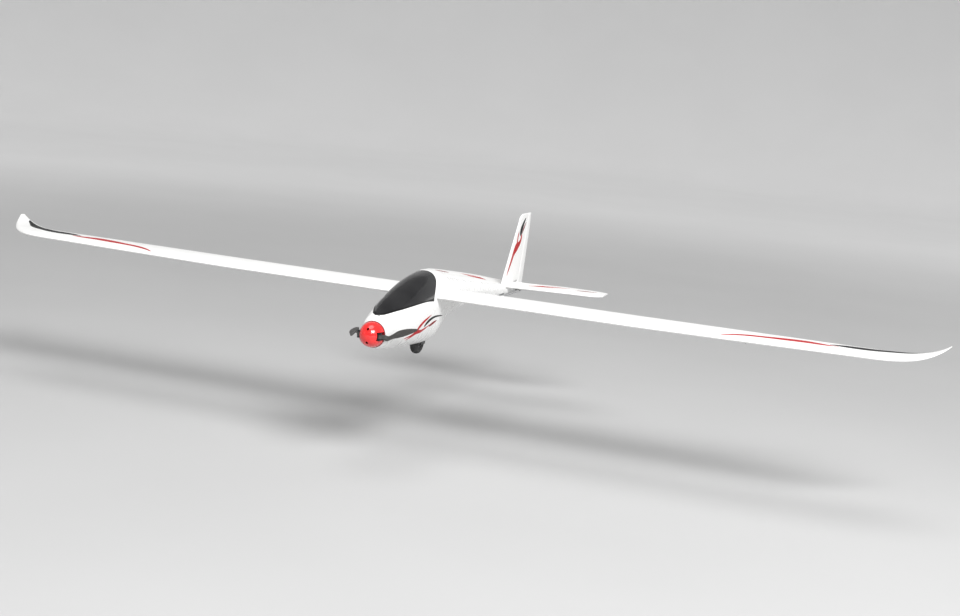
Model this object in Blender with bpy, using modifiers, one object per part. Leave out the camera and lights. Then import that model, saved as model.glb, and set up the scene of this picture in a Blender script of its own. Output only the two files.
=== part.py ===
"""Electric RC glider with a folding propeller: the whole model as separate named pieces.

Every piece is drawn in the designer's own frame: X to port, `station` aft of the spinner's
base, and `height` above the thrust line. One empty, `datum`, carries that frame into the
world, where the origin is under the middle of the glider at the bottom of its wheel.
"""
import math

import bmesh
import bpy
from mathutils import Matrix, Vector

# ---------------------------------------------------------------- driving dimensions (metres)
GAP = 0.0003                    # clearance between touching pieces
HALF_SPAN = 1.200
SPINNER_LENGTH = 0.034
SPINNER_RADIUS = 0.0285
BACKPLATE_RADIUS = 0.0296
RUDDER_END = 1.176              # station of the rudder's highest trailing corner

WHEEL_STATION = 0.300
WHEEL_HEIGHT = -0.0555
BRACKET_TOP = -0.0226
TYRE_RADIUS = 0.0285
TYRE_WIDTH = 0.020

WING_ROOT = 0.0506
WING_CHORD = 0.195
WING_LE = 0.268
WING_HEIGHT = 0.060
WING_INCIDENCE = math.radians(1.5)
WING_THICKNESS = 0.092          # of the chord
WING_CAMBER = 0.025             # of the chord
WING_BREAK = 0.500              # span station where the taper starts
WING_TIP_START = 1.000          # span station where the raked tip starts
OUTER_SLOPE = 0.007             # rise of the outer panel per metre
TIP_RISE = 0.030
TIP_RAKE = 0.168                # how far the leading edge sweeps back over the tip
WING_HINGE = 0.4162             # station of the flap and aileron hinge line
TRAILING_HALF = 0.0006          # half the thickness of the foam's trailing edge

TAIL_HEIGHT = 0.0136
TAIL_HALF_SPAN = 0.2675
TAIL_THICKNESS = 0.0090
ELEVATOR_HINGE = 1.050
RUDDER_HINGE = 1.0985           # station of the rudder's hinge line at the thrust line's height
RUDDER_LEAN = 0.25              # how far the rudder's hinge line leans aft per metre of height
FIN_TOP = 0.2055

BLADE_PIVOT_RADIUS = 0.024
BLADE_PIVOT_STATION = -0.016
BLADE_SPLAY = math.radians(34)  # angle of a folded blade from the glider's axis
BLADE_LENGTH = 0.100

MID_STATION = (RUDDER_END - SPINNER_LENGTH) / 2
GROUND = TYRE_RADIUS - WHEEL_HEIGHT

WHITE = (0.86, 0.86, 0.85)
RED = (0.75, 0.03, 0.03)
BLACK = (0.02, 0.02, 0.02)
SMOKE = (0.03, 0.03, 0.032)
METAL = (0.55, 0.56, 0.58)
WOOD = (0.55, 0.40, 0.24)


# ------------------------------------------------------------------------------ scene helpers
def clear_scene():
    for old in list(bpy.data.objects):
        bpy.data.objects.remove(old, do_unlink=True)


def new_collection(name):
    group = bpy.data.collections.new(name)
    bpy.context.scene.collection.children.link(group)
    return group


clear_scene()
PARTS = new_collection("rc_glider")
CUTTERS = new_collection("cutters")
DATUM = bpy.data.objects.new("datum", None)
DATUM.location = (0.0, -MID_STATION, GROUND)
PARTS.objects.link(DATUM)


def material(name, color, roughness, metallic=0.0):
    mat = bpy.data.materials.new(name)
    mat.use_nodes = True
    shader = mat.node_tree.nodes["Principled BSDF"]
    shader.inputs["Base Color"].default_value = (*color, 1.0)
    shader.inputs["Roughness"].default_value = roughness
    shader.inputs["Metallic"].default_value = metallic
    return mat


def finish_part(obj, color, roughness=0.4, metallic=0.0, pivot=None, sharp=30):
    """Give a piece its material, and its origin on `pivot` if it moves."""
    if pivot is not None:
        obj.data.transform(Matrix.Translation(-Vector(pivot)))
        obj.location = pivot
    obj.data.materials.clear()
    obj.data.materials.append(material(obj.name, color, roughness, metallic))
    obj.data.shade_smooth()
    obj.data.set_sharp_from_angle(angle=math.radians(sharp))
    return obj


def mesh_object(name, bm, cutter=False):
    bmesh.ops.recalc_face_normals(bm, faces=bm.faces)
    mesh = bpy.data.meshes.new(name)
    bm.to_mesh(mesh)
    bm.free()
    obj = bpy.data.objects.new(name, mesh)
    obj.parent = DATUM
    if cutter:
        CUTTERS.objects.link(obj)
        obj.hide_render = True
        obj.display_type = "WIRE"
    else:
        PARTS.objects.link(obj)
    return obj


def box(name, low, high, cutter=False):
    bm = bmesh.new()
    bmesh.ops.create_cube(bm, size=1.0)
    low, high = Vector(low), Vector(high)
    middle, size = (low + high) / 2, high - low
    bmesh.ops.transform(bm, verts=bm.verts,
                        matrix=Matrix.Translation(middle) @ Matrix.Diagonal((*size, 1.0)))
    return mesh_object(name, bm, cutter)


def cylinder_bmesh(bm, start, end, radius, sides=16, end_radius=None):
    """Add a round bar, or a cone, between two points."""
    start, end = Vector(start), Vector(end)
    line = end - start
    turn = Vector((0, 0, 1)).rotation_difference(line).to_matrix().to_4x4()
    bmesh.ops.create_cone(bm, cap_ends=True, segments=sides, radius1=radius,
                          radius2=radius if end_radius is None else end_radius,
                          depth=line.length,
                          matrix=Matrix.Translation((start + end) / 2) @ turn)


def cylinder(name, start, end, radius, sides=16, cutter=False, end_radius=None):
    bm = bmesh.new()
    cylinder_bmesh(bm, start, end, radius, sides, end_radius)
    return mesh_object(name, bm, cutter)


def loft(name, rings, cutter=False):
    """Skin closed rings of equal point counts and close both ends."""
    bm = bmesh.new()
    loops = [[bm.verts.new(point) for point in ring] for ring in rings]
    count = len(rings[0])
    for first, second in zip(loops, loops[1:]):
        for i in range(count):
            j = (i + 1) % count
            bm.faces.new((first[i], first[j], second[j], second[i]))
    bm.faces.new(loops[0])
    bm.faces.new(loops[-1])
    return mesh_object(name, bm, cutter)


def plate(name, outline, x_low, x_high, cutter=False):
    """A flat plate in the side view: `outline` holds (station, height) pairs."""
    rings = [[(x, s, h) for s, h in outline] for x in (x_low, x_high)]
    return loft(name, rings, cutter)


def turned(name, profile, axis_point, axis, segments=32, cutter=False):
    """Turn a closed (along, radius) profile about an axis with a Screw modifier, applied."""
    mesh = bpy.data.meshes.new(name)
    points = [(radius, 0.0, along) for along, radius in profile]
    closed = profile[0] == profile[-1]
    if closed:
        points = points[:-1]
    edges = [(i, i + 1) for i in range(len(points) - 1)]
    if closed:
        edges.append((len(points) - 1, 0))
    mesh.from_pydata(points, edges, [])
    lathe = bpy.data.objects.new(name + "_profile", mesh)
    CUTTERS.objects.link(lathe)
    screw = lathe.modifiers.new("turn", "SCREW")
    screw.steps = segments
    screw.render_steps = segments
    screw.use_merge_vertices = True
    screw.merge_threshold = 0.00005
    bpy.context.view_layer.update()
    result = bpy.data.meshes.new_from_object(
        lathe.evaluated_get(bpy.context.evaluated_depsgraph_get()))
    bpy.data.objects.remove(lathe, do_unlink=True)
    bm = bmesh.new()
    bm.from_mesh(result)
    bpy.data.meshes.remove(result)
    bmesh.ops.remove_doubles(bm, verts=bm.verts, dist=0.00002)
    turn = Vector((0, 0, 1)).rotation_difference(Vector(axis)).to_matrix().to_4x4()
    bmesh.ops.transform(bm, verts=bm.verts, matrix=Matrix.Translation(axis_point) @ turn)
    return mesh_object(name, bm, cutter)


def rod(name, points, radius):
    """A round wire along straight runs, as one closed mesh."""
    curve = bpy.data.curves.new(name, "CURVE")
    curve.dimensions = "3D"
    curve.bevel_depth = radius
    curve.bevel_resolution = 2
    curve.use_fill_caps = True
    spline = curve.splines.new("POLY")
    spline.points.add(len(points) - 1)
    for target, point in zip(spline.points, points):
        target.co = (*point, 1.0)
    wire = bpy.data.objects.new(name + "_curve", curve)
    CUTTERS.objects.link(wire)
    bpy.context.view_layer.update()
    result = bpy.data.meshes.new_from_object(
        wire.evaluated_get(bpy.context.evaluated_depsgraph_get()))
    bpy.data.objects.remove(wire, do_unlink=True)
    bm = bmesh.new()
    bm.from_mesh(result)
    bpy.data.meshes.remove(result)
    bmesh.ops.remove_doubles(bm, verts=bm.verts, dist=0.00001)
    return mesh_object(name, bm)


def combine(obj, tool, operation):
    """Apply one exact Boolean to `obj` and drop the tool if it is a scrap piece."""
    modifier = obj.modifiers.new(operation.lower(), "BOOLEAN")
    modifier.operation = operation
    modifier.solver = "EXACT"
    modifier.object = tool
    bpy.context.view_layer.update()
    result = bpy.data.meshes.new_from_object(
        obj.evaluated_get(bpy.context.evaluated_depsgraph_get()))
    obj.modifiers.clear()
    old = obj.data
    obj.data = result
    result.name = old.name
    bpy.data.meshes.remove(old)
    return obj


def cut(obj, *tools):
    for tool in tools:
        combine(obj, tool, "DIFFERENCE")
    return obj


def join(obj, *tools):
    for tool in tools:
        combine(obj, tool, "UNION")
        bpy.data.objects.remove(tool, do_unlink=True)
    return obj


# ---------------------------------------------------------------------------------- fuselage
# station, half width, top, bottom and height of the widest line of the body's key sections
BODY_SECTIONS = (
    (0.0045, 0.0298, 0.0298, -0.0298, 0.000),
    (0.0200, 0.0333, 0.0410, -0.0340, 0.003),
    (0.0500, 0.0370, 0.0525, -0.0380, 0.009),
    (0.1000, 0.0422, 0.0712, -0.0435, 0.018),
    (0.1700, 0.0472, 0.0915, -0.0490, 0.028),
    (0.2400, 0.0497, 0.1065, -0.0535, 0.036),
    (0.3000, 0.0500, 0.1132, -0.0560, 0.040),
    (0.3350, 0.0493, 0.1132, -0.0525, 0.042),
    (0.3720, 0.0475, 0.1080, -0.0225, 0.043),
    (0.4300, 0.0430, 0.0920, -0.0125, 0.042),
    (0.5000, 0.0355, 0.0805, -0.0050, 0.038),
    (0.5800, 0.0285, 0.0680, 0.0000, 0.033),
    (0.7000, 0.0225, 0.0515, -0.0020, 0.024),
    (0.8500, 0.0175, 0.0325, -0.0105, 0.010),
    (1.0000, 0.0145, 0.0150, -0.0165, -0.001),
    (1.0880, 0.0125, 0.0100, -0.0195, -0.005),
)
BODY_SQUARENESS = 2.2           # exponent of the section's superellipse
BODY_SIDES = 28
SHELL = 0.0018                  # thickness of the moulded body


def body_at(station):
    """The body's section values at a station, by a smooth cubic through the key sections."""
    keys = BODY_SECTIONS
    last = len(keys) - 2
    i = max(0, min(last, next((n for n in range(last + 1) if keys[n + 1][0] >= station), last)))
    a, b = keys[i], keys[i + 1]
    width = b[0] - a[0]
    t = (station - a[0]) / width

    def slope(n, column):
        if n == 0 or n == len(keys) - 1:
            m = min(n, len(keys) - 2)
            return (keys[m + 1][column] - keys[m][column]) / (keys[m + 1][0] - keys[m][0])
        return ((keys[n + 1][column] - keys[n - 1][column])
                / (keys[n + 1][0] - keys[n - 1][0]))

    values = []
    for column in range(1, 5):
        p, q = a[column], b[column]
        mp, mq = slope(i, column) * width, slope(i + 1, column) * width
        values.append(p * (2 * t**3 - 3 * t**2 + 1) + mp * (t**3 - 2 * t**2 + t)
                      + q * (3 * t**2 - 2 * t**3) + mq * (t**3 - t**2))
    return values


def body_ring(station, inset=0.0):
    half_width, top, bottom, widest = body_at(station)
    power = 2 / BODY_SQUARENESS
    ring = []
    for i in range(BODY_SIDES):
        angle = 2 * math.pi * i / BODY_SIDES
        c, s = math.cos(angle), math.sin(angle)
        depth = (top - widest if s >= 0 else widest - bottom) - inset
        x = (half_width - inset) * math.copysign(abs(c) ** power, c)
        ring.append((x, station, widest + depth * math.copysign(abs(s) ** power, s)))
    return ring


POD_STATIONS = [0.0045, 0.012, 0.020, 0.035, 0.055, 0.080, 0.110, 0.145, 0.180, 0.215, 0.250,
                0.285, 0.310, 0.330, 0.345, 0.360, 0.375, 0.400, 0.435, 0.475, 0.520, 0.580,
                0.660, 0.750, 0.850]
BOOM_STATIONS = [0.920, 1.000, 1.085]
CAVITY_STATIONS = [0.0120] + POD_STATIONS[2:] + [0.920, 0.948]
CANOPY_END = 0.335              # a station just behind the canopy

# the canopy's outline in the side view: along its sill, up its raked rear edge, over the top
CANOPY_SILL = ((0.0218, 0.0408), (0.0290, 0.0421), (0.0387, 0.0437), (0.0620, 0.0468),
               (0.1050, 0.0507), (0.1660, 0.0544), (0.2150, 0.0555), (0.2500, 0.0528))
CANOPY_BACK = ((0.2545, 0.0600), (0.2621, 0.0699), (0.2891, 0.0918), (0.3070, 0.1070))
CANOPY_CEILING = 0.130


def canopy_outline(grow):
    """The canopy's side outline, grown or shrunk by moving its sill and its back edge."""
    sill = [(s, h - grow) for s, h in CANOPY_SILL[:-1]]
    corner = (CANOPY_SILL[-1][0] + grow, CANOPY_SILL[-1][1] - grow)
    back = [(s + grow, h) for s, h in CANOPY_BACK]
    front = CANOPY_SILL[0][0] - grow
    return ([(front, sill[0][1])] + sill[1:] + [corner] + back
            + [(CANOPY_BACK[-1][0] + grow, CANOPY_CEILING), (front, CANOPY_CEILING)])


def make_fuselage():
    shell = loft("fuselage_shell", [body_ring(s) for s in POD_STATIONS + BOOM_STATIONS])
    fairing = loft("wing_fairing", [
        [(x, s, h) for s, h in wing_section(WING_ROOT, grow=0.0022)]
        for x in (-WING_ROOT + 0.0004, WING_ROOT - 0.0004)])
    join(shell, fairing)
    cavity = loft("body_cavity", [body_ring(s, SHELL) for s in CAVITY_STATIONS], cutter=True)
    cut(shell, cavity,
        plate("canopy_opening", canopy_outline(GAP / 2), -0.08, 0.08, cutter=True),
        cylinder("shaft_hole", (0, 0.0, 0), (0, 0.02, 0), 0.0125, 24, cutter=True),
        box("wheel_opening", (-0.0158, 0.2665, -0.080), (0.0158, 0.3335, -0.030), cutter=True),
        cylinder("joiner_hole", (-0.08, JOINER_STATION, JOINER_HEIGHT),
                 (0.08, JOINER_STATION, JOINER_HEIGHT), JOINER_RADIUS + GAP, 16, cutter=True),
        cylinder("pin_hole", (-0.08, PIN_STATION, PIN_HEIGHT), (0.08, PIN_STATION, PIN_HEIGHT),
                 PIN_RADIUS + GAP, 12, cutter=True),
        tail_screw_hole("boom"),
        box("tail_seat", (-0.05, 0.9500, TAIL_SEAT), (0.05, 1.10, 0.08), cutter=True),
        box("elevator_room", (-0.05, 1.0440, -0.0095), (0.05, 1.10, 0.08), cutter=True),
        box("pushrod_slot", (0.005, 0.870, RUDDER_ROD_HEIGHT - 0.0022),
            (0.030, 0.945, ELEVATOR_ROD_HEIGHT + 0.0042), cutter=True))
    finish_part(shell, WHITE, 0.25)


def trim_to_hull(obj):
    """Shape a plate to the inside of the body, less the gap it is fitted with."""
    hull = loft(obj.name + "_hull", [body_ring(s, SHELL + GAP) for s in CAVITY_STATIONS],
                cutter=True)
    return combine(obj, hull, "INTERSECT")


def make_canopy():
    outside = [body_ring(s) for s in POD_STATIONS if s < CANOPY_END]
    inside = [body_ring(s, SHELL) for s in CAVITY_STATIONS if s < CANOPY_END]
    inside.append(body_ring(CANOPY_END, SHELL))
    outside.append(body_ring(CANOPY_END + SHELL))
    canopy = loft("canopy", outside)
    cut(canopy, loft("canopy_cavity", inside, cutter=True))
    combine(canopy, plate("canopy_mask", canopy_outline(-GAP / 2), -0.08, 0.08, cutter=True),
            "INTERSECT")
    finish_part(canopy, SMOKE, 0.12)


# -------------------------------------------------------------------------------------- wing
JOINER_STATION = WING_LE + 0.30 * WING_CHORD
JOINER_RADIUS = 0.005
JOINER_HALF_LENGTH = 0.350
PIN_STATION = 0.394
PIN_RADIUS = 0.002
FLAP_ENDS = (0.063, 0.500)
AILERON_ENDS = (0.503, 1.000)
SURFACE_END_GAP = 0.0012
COVE_GAP = 0.0008               # between a hinged surface's round nose and the flat behind it
SECTION_STEPS = 9


def wing_front(x):
    """Station of the leading edge."""
    sweep = 0.022 * (max(0.0, x - WING_BREAK) / 0.5) ** 1.5 if x < WING_TIP_START else 0.022
    if x <= WING_TIP_START:
        return WING_LE + sweep
    u = min(1.0, (x - WING_TIP_START) / (HALF_SPAN - WING_TIP_START))
    return WING_LE + 0.022 + TIP_RAKE * u**2.9


def wing_back(x):
    """Station of the trailing edge."""
    inner = WING_LE + WING_CHORD - 0.012 * max(0.0, min(1.0, (x - WING_BREAK) / 0.5))
    u = max(0.0, (x - WING_TIP_START) / (HALF_SPAN - WING_TIP_START))
    return inner + 0.024 * u * u


def wing_lift(x):
    """Height of the leading edge's centre."""
    rise = OUTER_SLOPE * max(0.0, x - WING_BREAK)
    u = max(0.0, (x - WING_TIP_START) / (HALF_SPAN - WING_TIP_START))
    return WING_HEIGHT + rise + TIP_RISE * u**5


def foil_half_thickness(c):
    """Half thickness of the section at chord fraction c, for a chord of 1."""
    shape = (0.2969 * math.sqrt(c) - 0.1260 * c - 0.3516 * c**2 + 0.2843 * c**3 - 0.1015 * c**4)
    return 5 * WING_THICKNESS * shape


def wing_point(x, station, side, grow=0.0):
    """Height of the wing's upper (side 1) or lower (side -1) surface at a station."""
    front, back = wing_front(x) - grow, wing_back(x) + grow
    chord = back - front
    c = min(1.0, max(0.0, (station - front) / chord))
    camber = 4 * WING_CAMBER * c * (1 - c) * chord
    half = foil_half_thickness(c) * chord + TRAILING_HALF * c + grow * min(1.0, 20 * c)
    tilt = (station - WING_LE) * math.tan(WING_INCIDENCE)
    return wing_lift(x) + camber - tilt + side * half


def wing_section(x, grow=0.0):
    """The whole section at span station x as (station, height) pairs, from the trailing edge
    over the top to the nose and back below."""
    front, back = wing_front(x) - grow, wing_back(x) + grow
    stations = [front + (back - front) * (1 - math.cos(math.pi * i / SECTION_STEPS)) / 2
                for i in range(SECTION_STEPS + 1)]
    upper = [(s, wing_point(x, s, 1, grow)) for s in reversed(stations)]
    lower = [(s, wing_point(x, s, -1, grow)) for s in stations[1:]]
    return upper + lower


JOINER_HEIGHT = (wing_point(WING_ROOT, JOINER_STATION, 1)
                 + wing_point(WING_ROOT, JOINER_STATION, -1)) / 2
PIN_HEIGHT = (wing_point(WING_ROOT, PIN_STATION, 1)
              + wing_point(WING_ROOT, PIN_STATION, -1)) / 2


def hinge_height(x):
    return (wing_point(x, WING_HINGE, 1) + wing_point(x, WING_HINGE, -1)) / 2


def hinge_radius(x):
    return (wing_point(x, WING_HINGE, 1) - wing_point(x, WING_HINGE, -1)) / 2


def surface_section(x):
    """Section of a flap or aileron: a round nose about the hinge line, then the foil's tail."""
    radius, height = hinge_radius(x), hinge_height(x)
    nose = [(WING_HINGE - radius * math.cos(a), height + radius * math.sin(a))
            for a in [math.radians(-90 + 30 * i) for i in range(7)]]
    back = wing_back(x)
    tail = [WING_HINGE + (back - WING_HINGE) * t for t in (0.35, 0.7, 1.0)]
    upper = [(s, wing_point(x, s, 1)) for s in tail]
    lower = [(s, wing_point(x, s, -1)) for s in reversed(tail)]
    return nose + upper + lower


PANEL_STATIONS = (WING_ROOT, 0.28, WING_BREAK, 0.65, 0.80, 0.90, WING_TIP_START, 1.050, 1.090,
                  1.125, 1.150, 1.170, 1.184, 1.194, HALF_SPAN)
SERVO_SPANS = {"flap": 0.285, "aileron": 0.745}
SERVO_STATION = 0.352           # front of a wing servo's pocket
SERVO_LENGTH = 0.023
SERVO_HALF_SPAN = 0.012
SERVO_THICKNESS = 0.0100
ARM_FORWARD = 0.0075            # servo arm's axis aft of the servo's front
ARM_INNER, ARM_OUTER = 0.0130, 0.0145   # a linkage plate's faces, outboard of the servo's middle
WIRE_OFFSET = 0.0156
WIRE_RADIUS = 0.0008
WING_ARM_LENGTH = 0.0150
HORN_DROP = 0.0125              # the horn hole's depth below the hinge line


def between(side, low, high):
    """Two span stations as a low and a high X on the given side."""
    return sorted((side * low, side * high))


def surface_bay(name, side, ends):
    """Cutter for the room behind the wing that a flap or aileron fills."""
    rings = []
    for x in (ends[0], ends[1]):
        front = WING_HINGE - hinge_radius(x) - COVE_GAP
        rings.append([(side * x, s, h) for s, h in
                      ((front, 0.02), (0.56, 0.02), (0.56, 0.12), (front, 0.12))])
    return loft(name, rings, cutter=True)


def servo_floor(x):
    return wing_point(x, SERVO_STATION + SERVO_LENGTH / 2, -1) + 0.0006


def wing_servo_box(name, side, x, grow=0.0):
    """A wing servo lying in the lower surface, or with `grow` the pocket it sits in."""
    low_x, high_x = between(side, x - SERVO_HALF_SPAN - grow, x + SERVO_HALF_SPAN + grow)
    floor = servo_floor(x)
    return box(name, (low_x, SERVO_STATION - grow, floor - (0.02 if grow else 0.0)),
               (high_x, SERVO_STATION + SERVO_LENGTH + grow, floor + SERVO_THICKNESS + grow),
               cutter=bool(grow))


def arm_slot(name, side, x):
    """The slot beside a wing servo that its arm swings in."""
    low_x, high_x = between(side, x + SERVO_HALF_SPAN, x + 0.0170)
    middle = SERVO_STATION + ARM_FORWARD
    return box(name, (low_x, middle - 0.0085, servo_floor(x) - 0.02),
               (high_x, middle + 0.0085, servo_floor(x) + SERVO_THICKNESS), cutter=True)


def make_wing(side, label):
    panel = loft("wing_panel_" + label,
                 [[(side * x, s, h) for s, h in wing_section(x)] for x in PANEL_STATIONS])
    tools = [surface_bay("flap_bay_" + label, side, FLAP_ENDS),
             surface_bay("aileron_bay_" + label, side, AILERON_ENDS),
             cylinder("joiner_bore_" + label, (side * 0.04, JOINER_STATION, JOINER_HEIGHT),
                      (side * (JOINER_HALF_LENGTH + 0.002), JOINER_STATION, JOINER_HEIGHT),
                      JOINER_RADIUS + GAP, 16, cutter=True),
             cylinder("pin_bore_" + label, (side * 0.04, PIN_STATION, PIN_HEIGHT),
                      (side * 0.0765, PIN_STATION, PIN_HEIGHT), PIN_RADIUS + GAP, 12,
                      cutter=True)]
    for kind, x in SERVO_SPANS.items():
        tools.append(wing_servo_box("pocket_%s_%s" % (kind, label), side, x, 0.0004))
        tools.append(arm_slot("slot_%s_%s" % (kind, label), side, x))
    cut(panel, *tools)
    finish_part(panel, WHITE, 0.3)
    for kind, ends in (("flap", FLAP_ENDS), ("aileron", AILERON_ENDS)):
        make_wing_surface(side, label, kind, ends)
        make_wing_linkage(side, label, kind, SERVO_SPANS[kind])


def make_wing_surface(side, label, kind, ends):
    stations = (ends[0] + SURFACE_END_GAP, (ends[0] + ends[1]) / 2, ends[1] - SURFACE_END_GAP)
    surface = loft("%s_%s" % (kind, label),
                   [[(side * x, s, h) for s, h in surface_section(x)] for x in stations])
    finish_part(surface, WHITE, 0.3, pivot=(side * ends[0], WING_HINGE, hinge_height(ends[0])))


def make_wing_linkage(side, label, kind, x):
    """Servo, output arm, pushrod and control horn under one wing surface."""
    servo = wing_servo_box("%s_servo_%s" % (kind, label), side, x)
    finish_part(servo, BLACK, 0.5)
    plate_low, plate_high = between(side, x + ARM_INNER, x + ARM_OUTER)
    arm_station = SERVO_STATION + ARM_FORWARD
    arm_height = servo_floor(x) + SERVO_THICKNESS / 2
    arm = plate("servo_arm_%s_%s" % (kind, label),
                lever(arm_station, arm_height, WING_ARM_LENGTH, 0.0032, 0.0018),
                plate_low, plate_high)
    finish_part(arm, BLACK, 0.45, pivot=(plate_low, arm_station, arm_height))
    height = hinge_height(x)
    tip = height - HORN_DROP
    root = wing_point(x, WING_HINGE + 0.004, -1) - 2 * GAP
    tail = wing_point(x, WING_HINGE + 0.016, -1) - 2 * GAP
    horn = plate("control_horn_%s_%s" % (kind, label),
                 [(WING_HINGE + 0.004, root), (WING_HINGE + 0.016, tail),
                  (WING_HINGE + 0.0022, tip - 0.002), (WING_HINGE - 0.0018, tip - 0.002),
                  (WING_HINGE - 0.0018, tip + 0.002)], plate_low, plate_high)
    finish_part(horn, BLACK, 0.45, pivot=(plate_low, WING_HINGE, height))
    wire_x = side * (x + WIRE_OFFSET)
    wire = rod("pushrod_%s_%s" % (kind, label),
               [(wire_x, arm_station - 0.002, arm_height - WING_ARM_LENGTH),
                (wire_x, WING_HINGE + 0.002, tip)], WIRE_RADIUS)
    finish_part(wire, METAL, 0.3, 1.0)


def lever(station, height, length, hub, end):
    """Side outline of a servo arm that hangs down from its hub: two arcs joined by flanks."""
    upper = [(station + hub * math.cos(a), height + hub * math.sin(a))
             for a in [math.radians(45 * i) for i in range(5)]]
    lower = [(station - end * math.cos(a), height - length - end * math.sin(a))
             for a in [math.radians(45 * i) for i in range(5)]]
    return upper + lower


def make_joiner():
    finish_part(cylinder("wing_joiner_tube", (-JOINER_HALF_LENGTH, JOINER_STATION, JOINER_HEIGHT),
                         (JOINER_HALF_LENGTH, JOINER_STATION, JOINER_HEIGHT), JOINER_RADIUS, 16),
                BLACK, 0.35)
    finish_part(cylinder("wing_alignment_pin", (-0.076, PIN_STATION, PIN_HEIGHT),
                         (0.076, PIN_STATION, PIN_HEIGHT), PIN_RADIUS, 12), METAL, 0.3, 1.0)


# -------------------------------------------------------------------------------------- tail
TAIL_SEAT = TAIL_HEIGHT - TAIL_THICKNESS / 2 - GAP
FIN_BASE = TAIL_HEIGHT + TAIL_THICKNESS / 2 + GAP
ELEVATOR_INNER = 0.0120         # inner end of each elevator half
ELEVATOR_HORN_DROP = 0.0190
ELEVATOR_ROD_HEIGHT = TAIL_HEIGHT - ELEVATOR_HORN_DROP
RUDDER_ROD_HEIGHT = -0.0105
RUDDER_BOTTOM = -0.0180
TAIL_WIRE_X = 0.0169
TAIL_SPANS = (0.0, 0.060, 0.120, 0.180, 0.225, 0.248, 0.260, TAIL_HALF_SPAN)
TAIL_SCREW_STATION = 1.012
TAIL_SCREW_RADIUS = 0.0015


def tail_front(x):
    base = 0.952 + 0.20 * min(x, 0.225)
    u = max(0.0, (x - 0.225) / (TAIL_HALF_SPAN - 0.225))
    return base + 0.040 * (1 - math.sqrt(1 - 0.98 * u * u))


def tail_back(x):
    flare = max(0.0, min(1.0, (x - 0.020) / 0.140))
    u = max(0.0, (x - 0.225) / (TAIL_HALF_SPAN - 0.225))
    return 1.082 + 0.036 * flare * flare * (3 - 2 * flare) - 0.016 * u * u


def tail_half(x):
    return TAIL_THICKNESS / 2 * (1 - 0.30 * x / TAIL_HALF_SPAN)


def plank_section(front, back, half):
    """A flat plank with a half-round nose of 3:1 and a square back, as (station, offset)."""
    depth = min(3 * half, (back - front) * 0.6)
    angles = [math.radians(90 - 30 * i) for i in range(7)]
    nose = [(front + depth * (1 - math.cos(a)), half * math.sin(a)) for a in angles]
    return [(back, half)] + nose + [(back, -half)]


def hinged_section(hinge, back, half):
    """A round nose about its hinge and a wedge behind it, as (station, offset)."""
    angles = [math.radians(90 - 30 * i) for i in range(7)]
    nose = [(hinge - half * math.cos(a), half * math.sin(a)) for a in angles]
    return [(back, TRAILING_HALF)] + nose + [(back, -TRAILING_HALF)]


def rudder_hinge(height):
    return RUDDER_HINGE + RUDDER_LEAN * height


def rudder_half(height):
    return 0.0043 - 0.0014 * max(0.0, height) / FIN_TOP


def rudder_back(height):
    if height < 0.006:
        return 1.1525 - 0.5 * (0.006 - height)
    return 1.1525 + (RUDDER_END - 1.1525) * min(1.0, (height - 0.006) / 0.165)


def fin_front(height):
    straight = 0.953 + 0.673 * (min(height, 0.185) - 0.023)
    u = max(0.0, (height - 0.185) / (FIN_TOP - 0.185))
    return straight + 0.045 * (1 - math.sqrt(1 - 0.96 * u * u))


def tail_screw_hole(prefix):
    return cylinder(prefix + "_screw_hole", (0, TAIL_SCREW_STATION, -0.03),
                    (0, TAIL_SCREW_STATION, 0.0330), TAIL_SCREW_RADIUS + GAP, 12, cutter=True)


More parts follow.
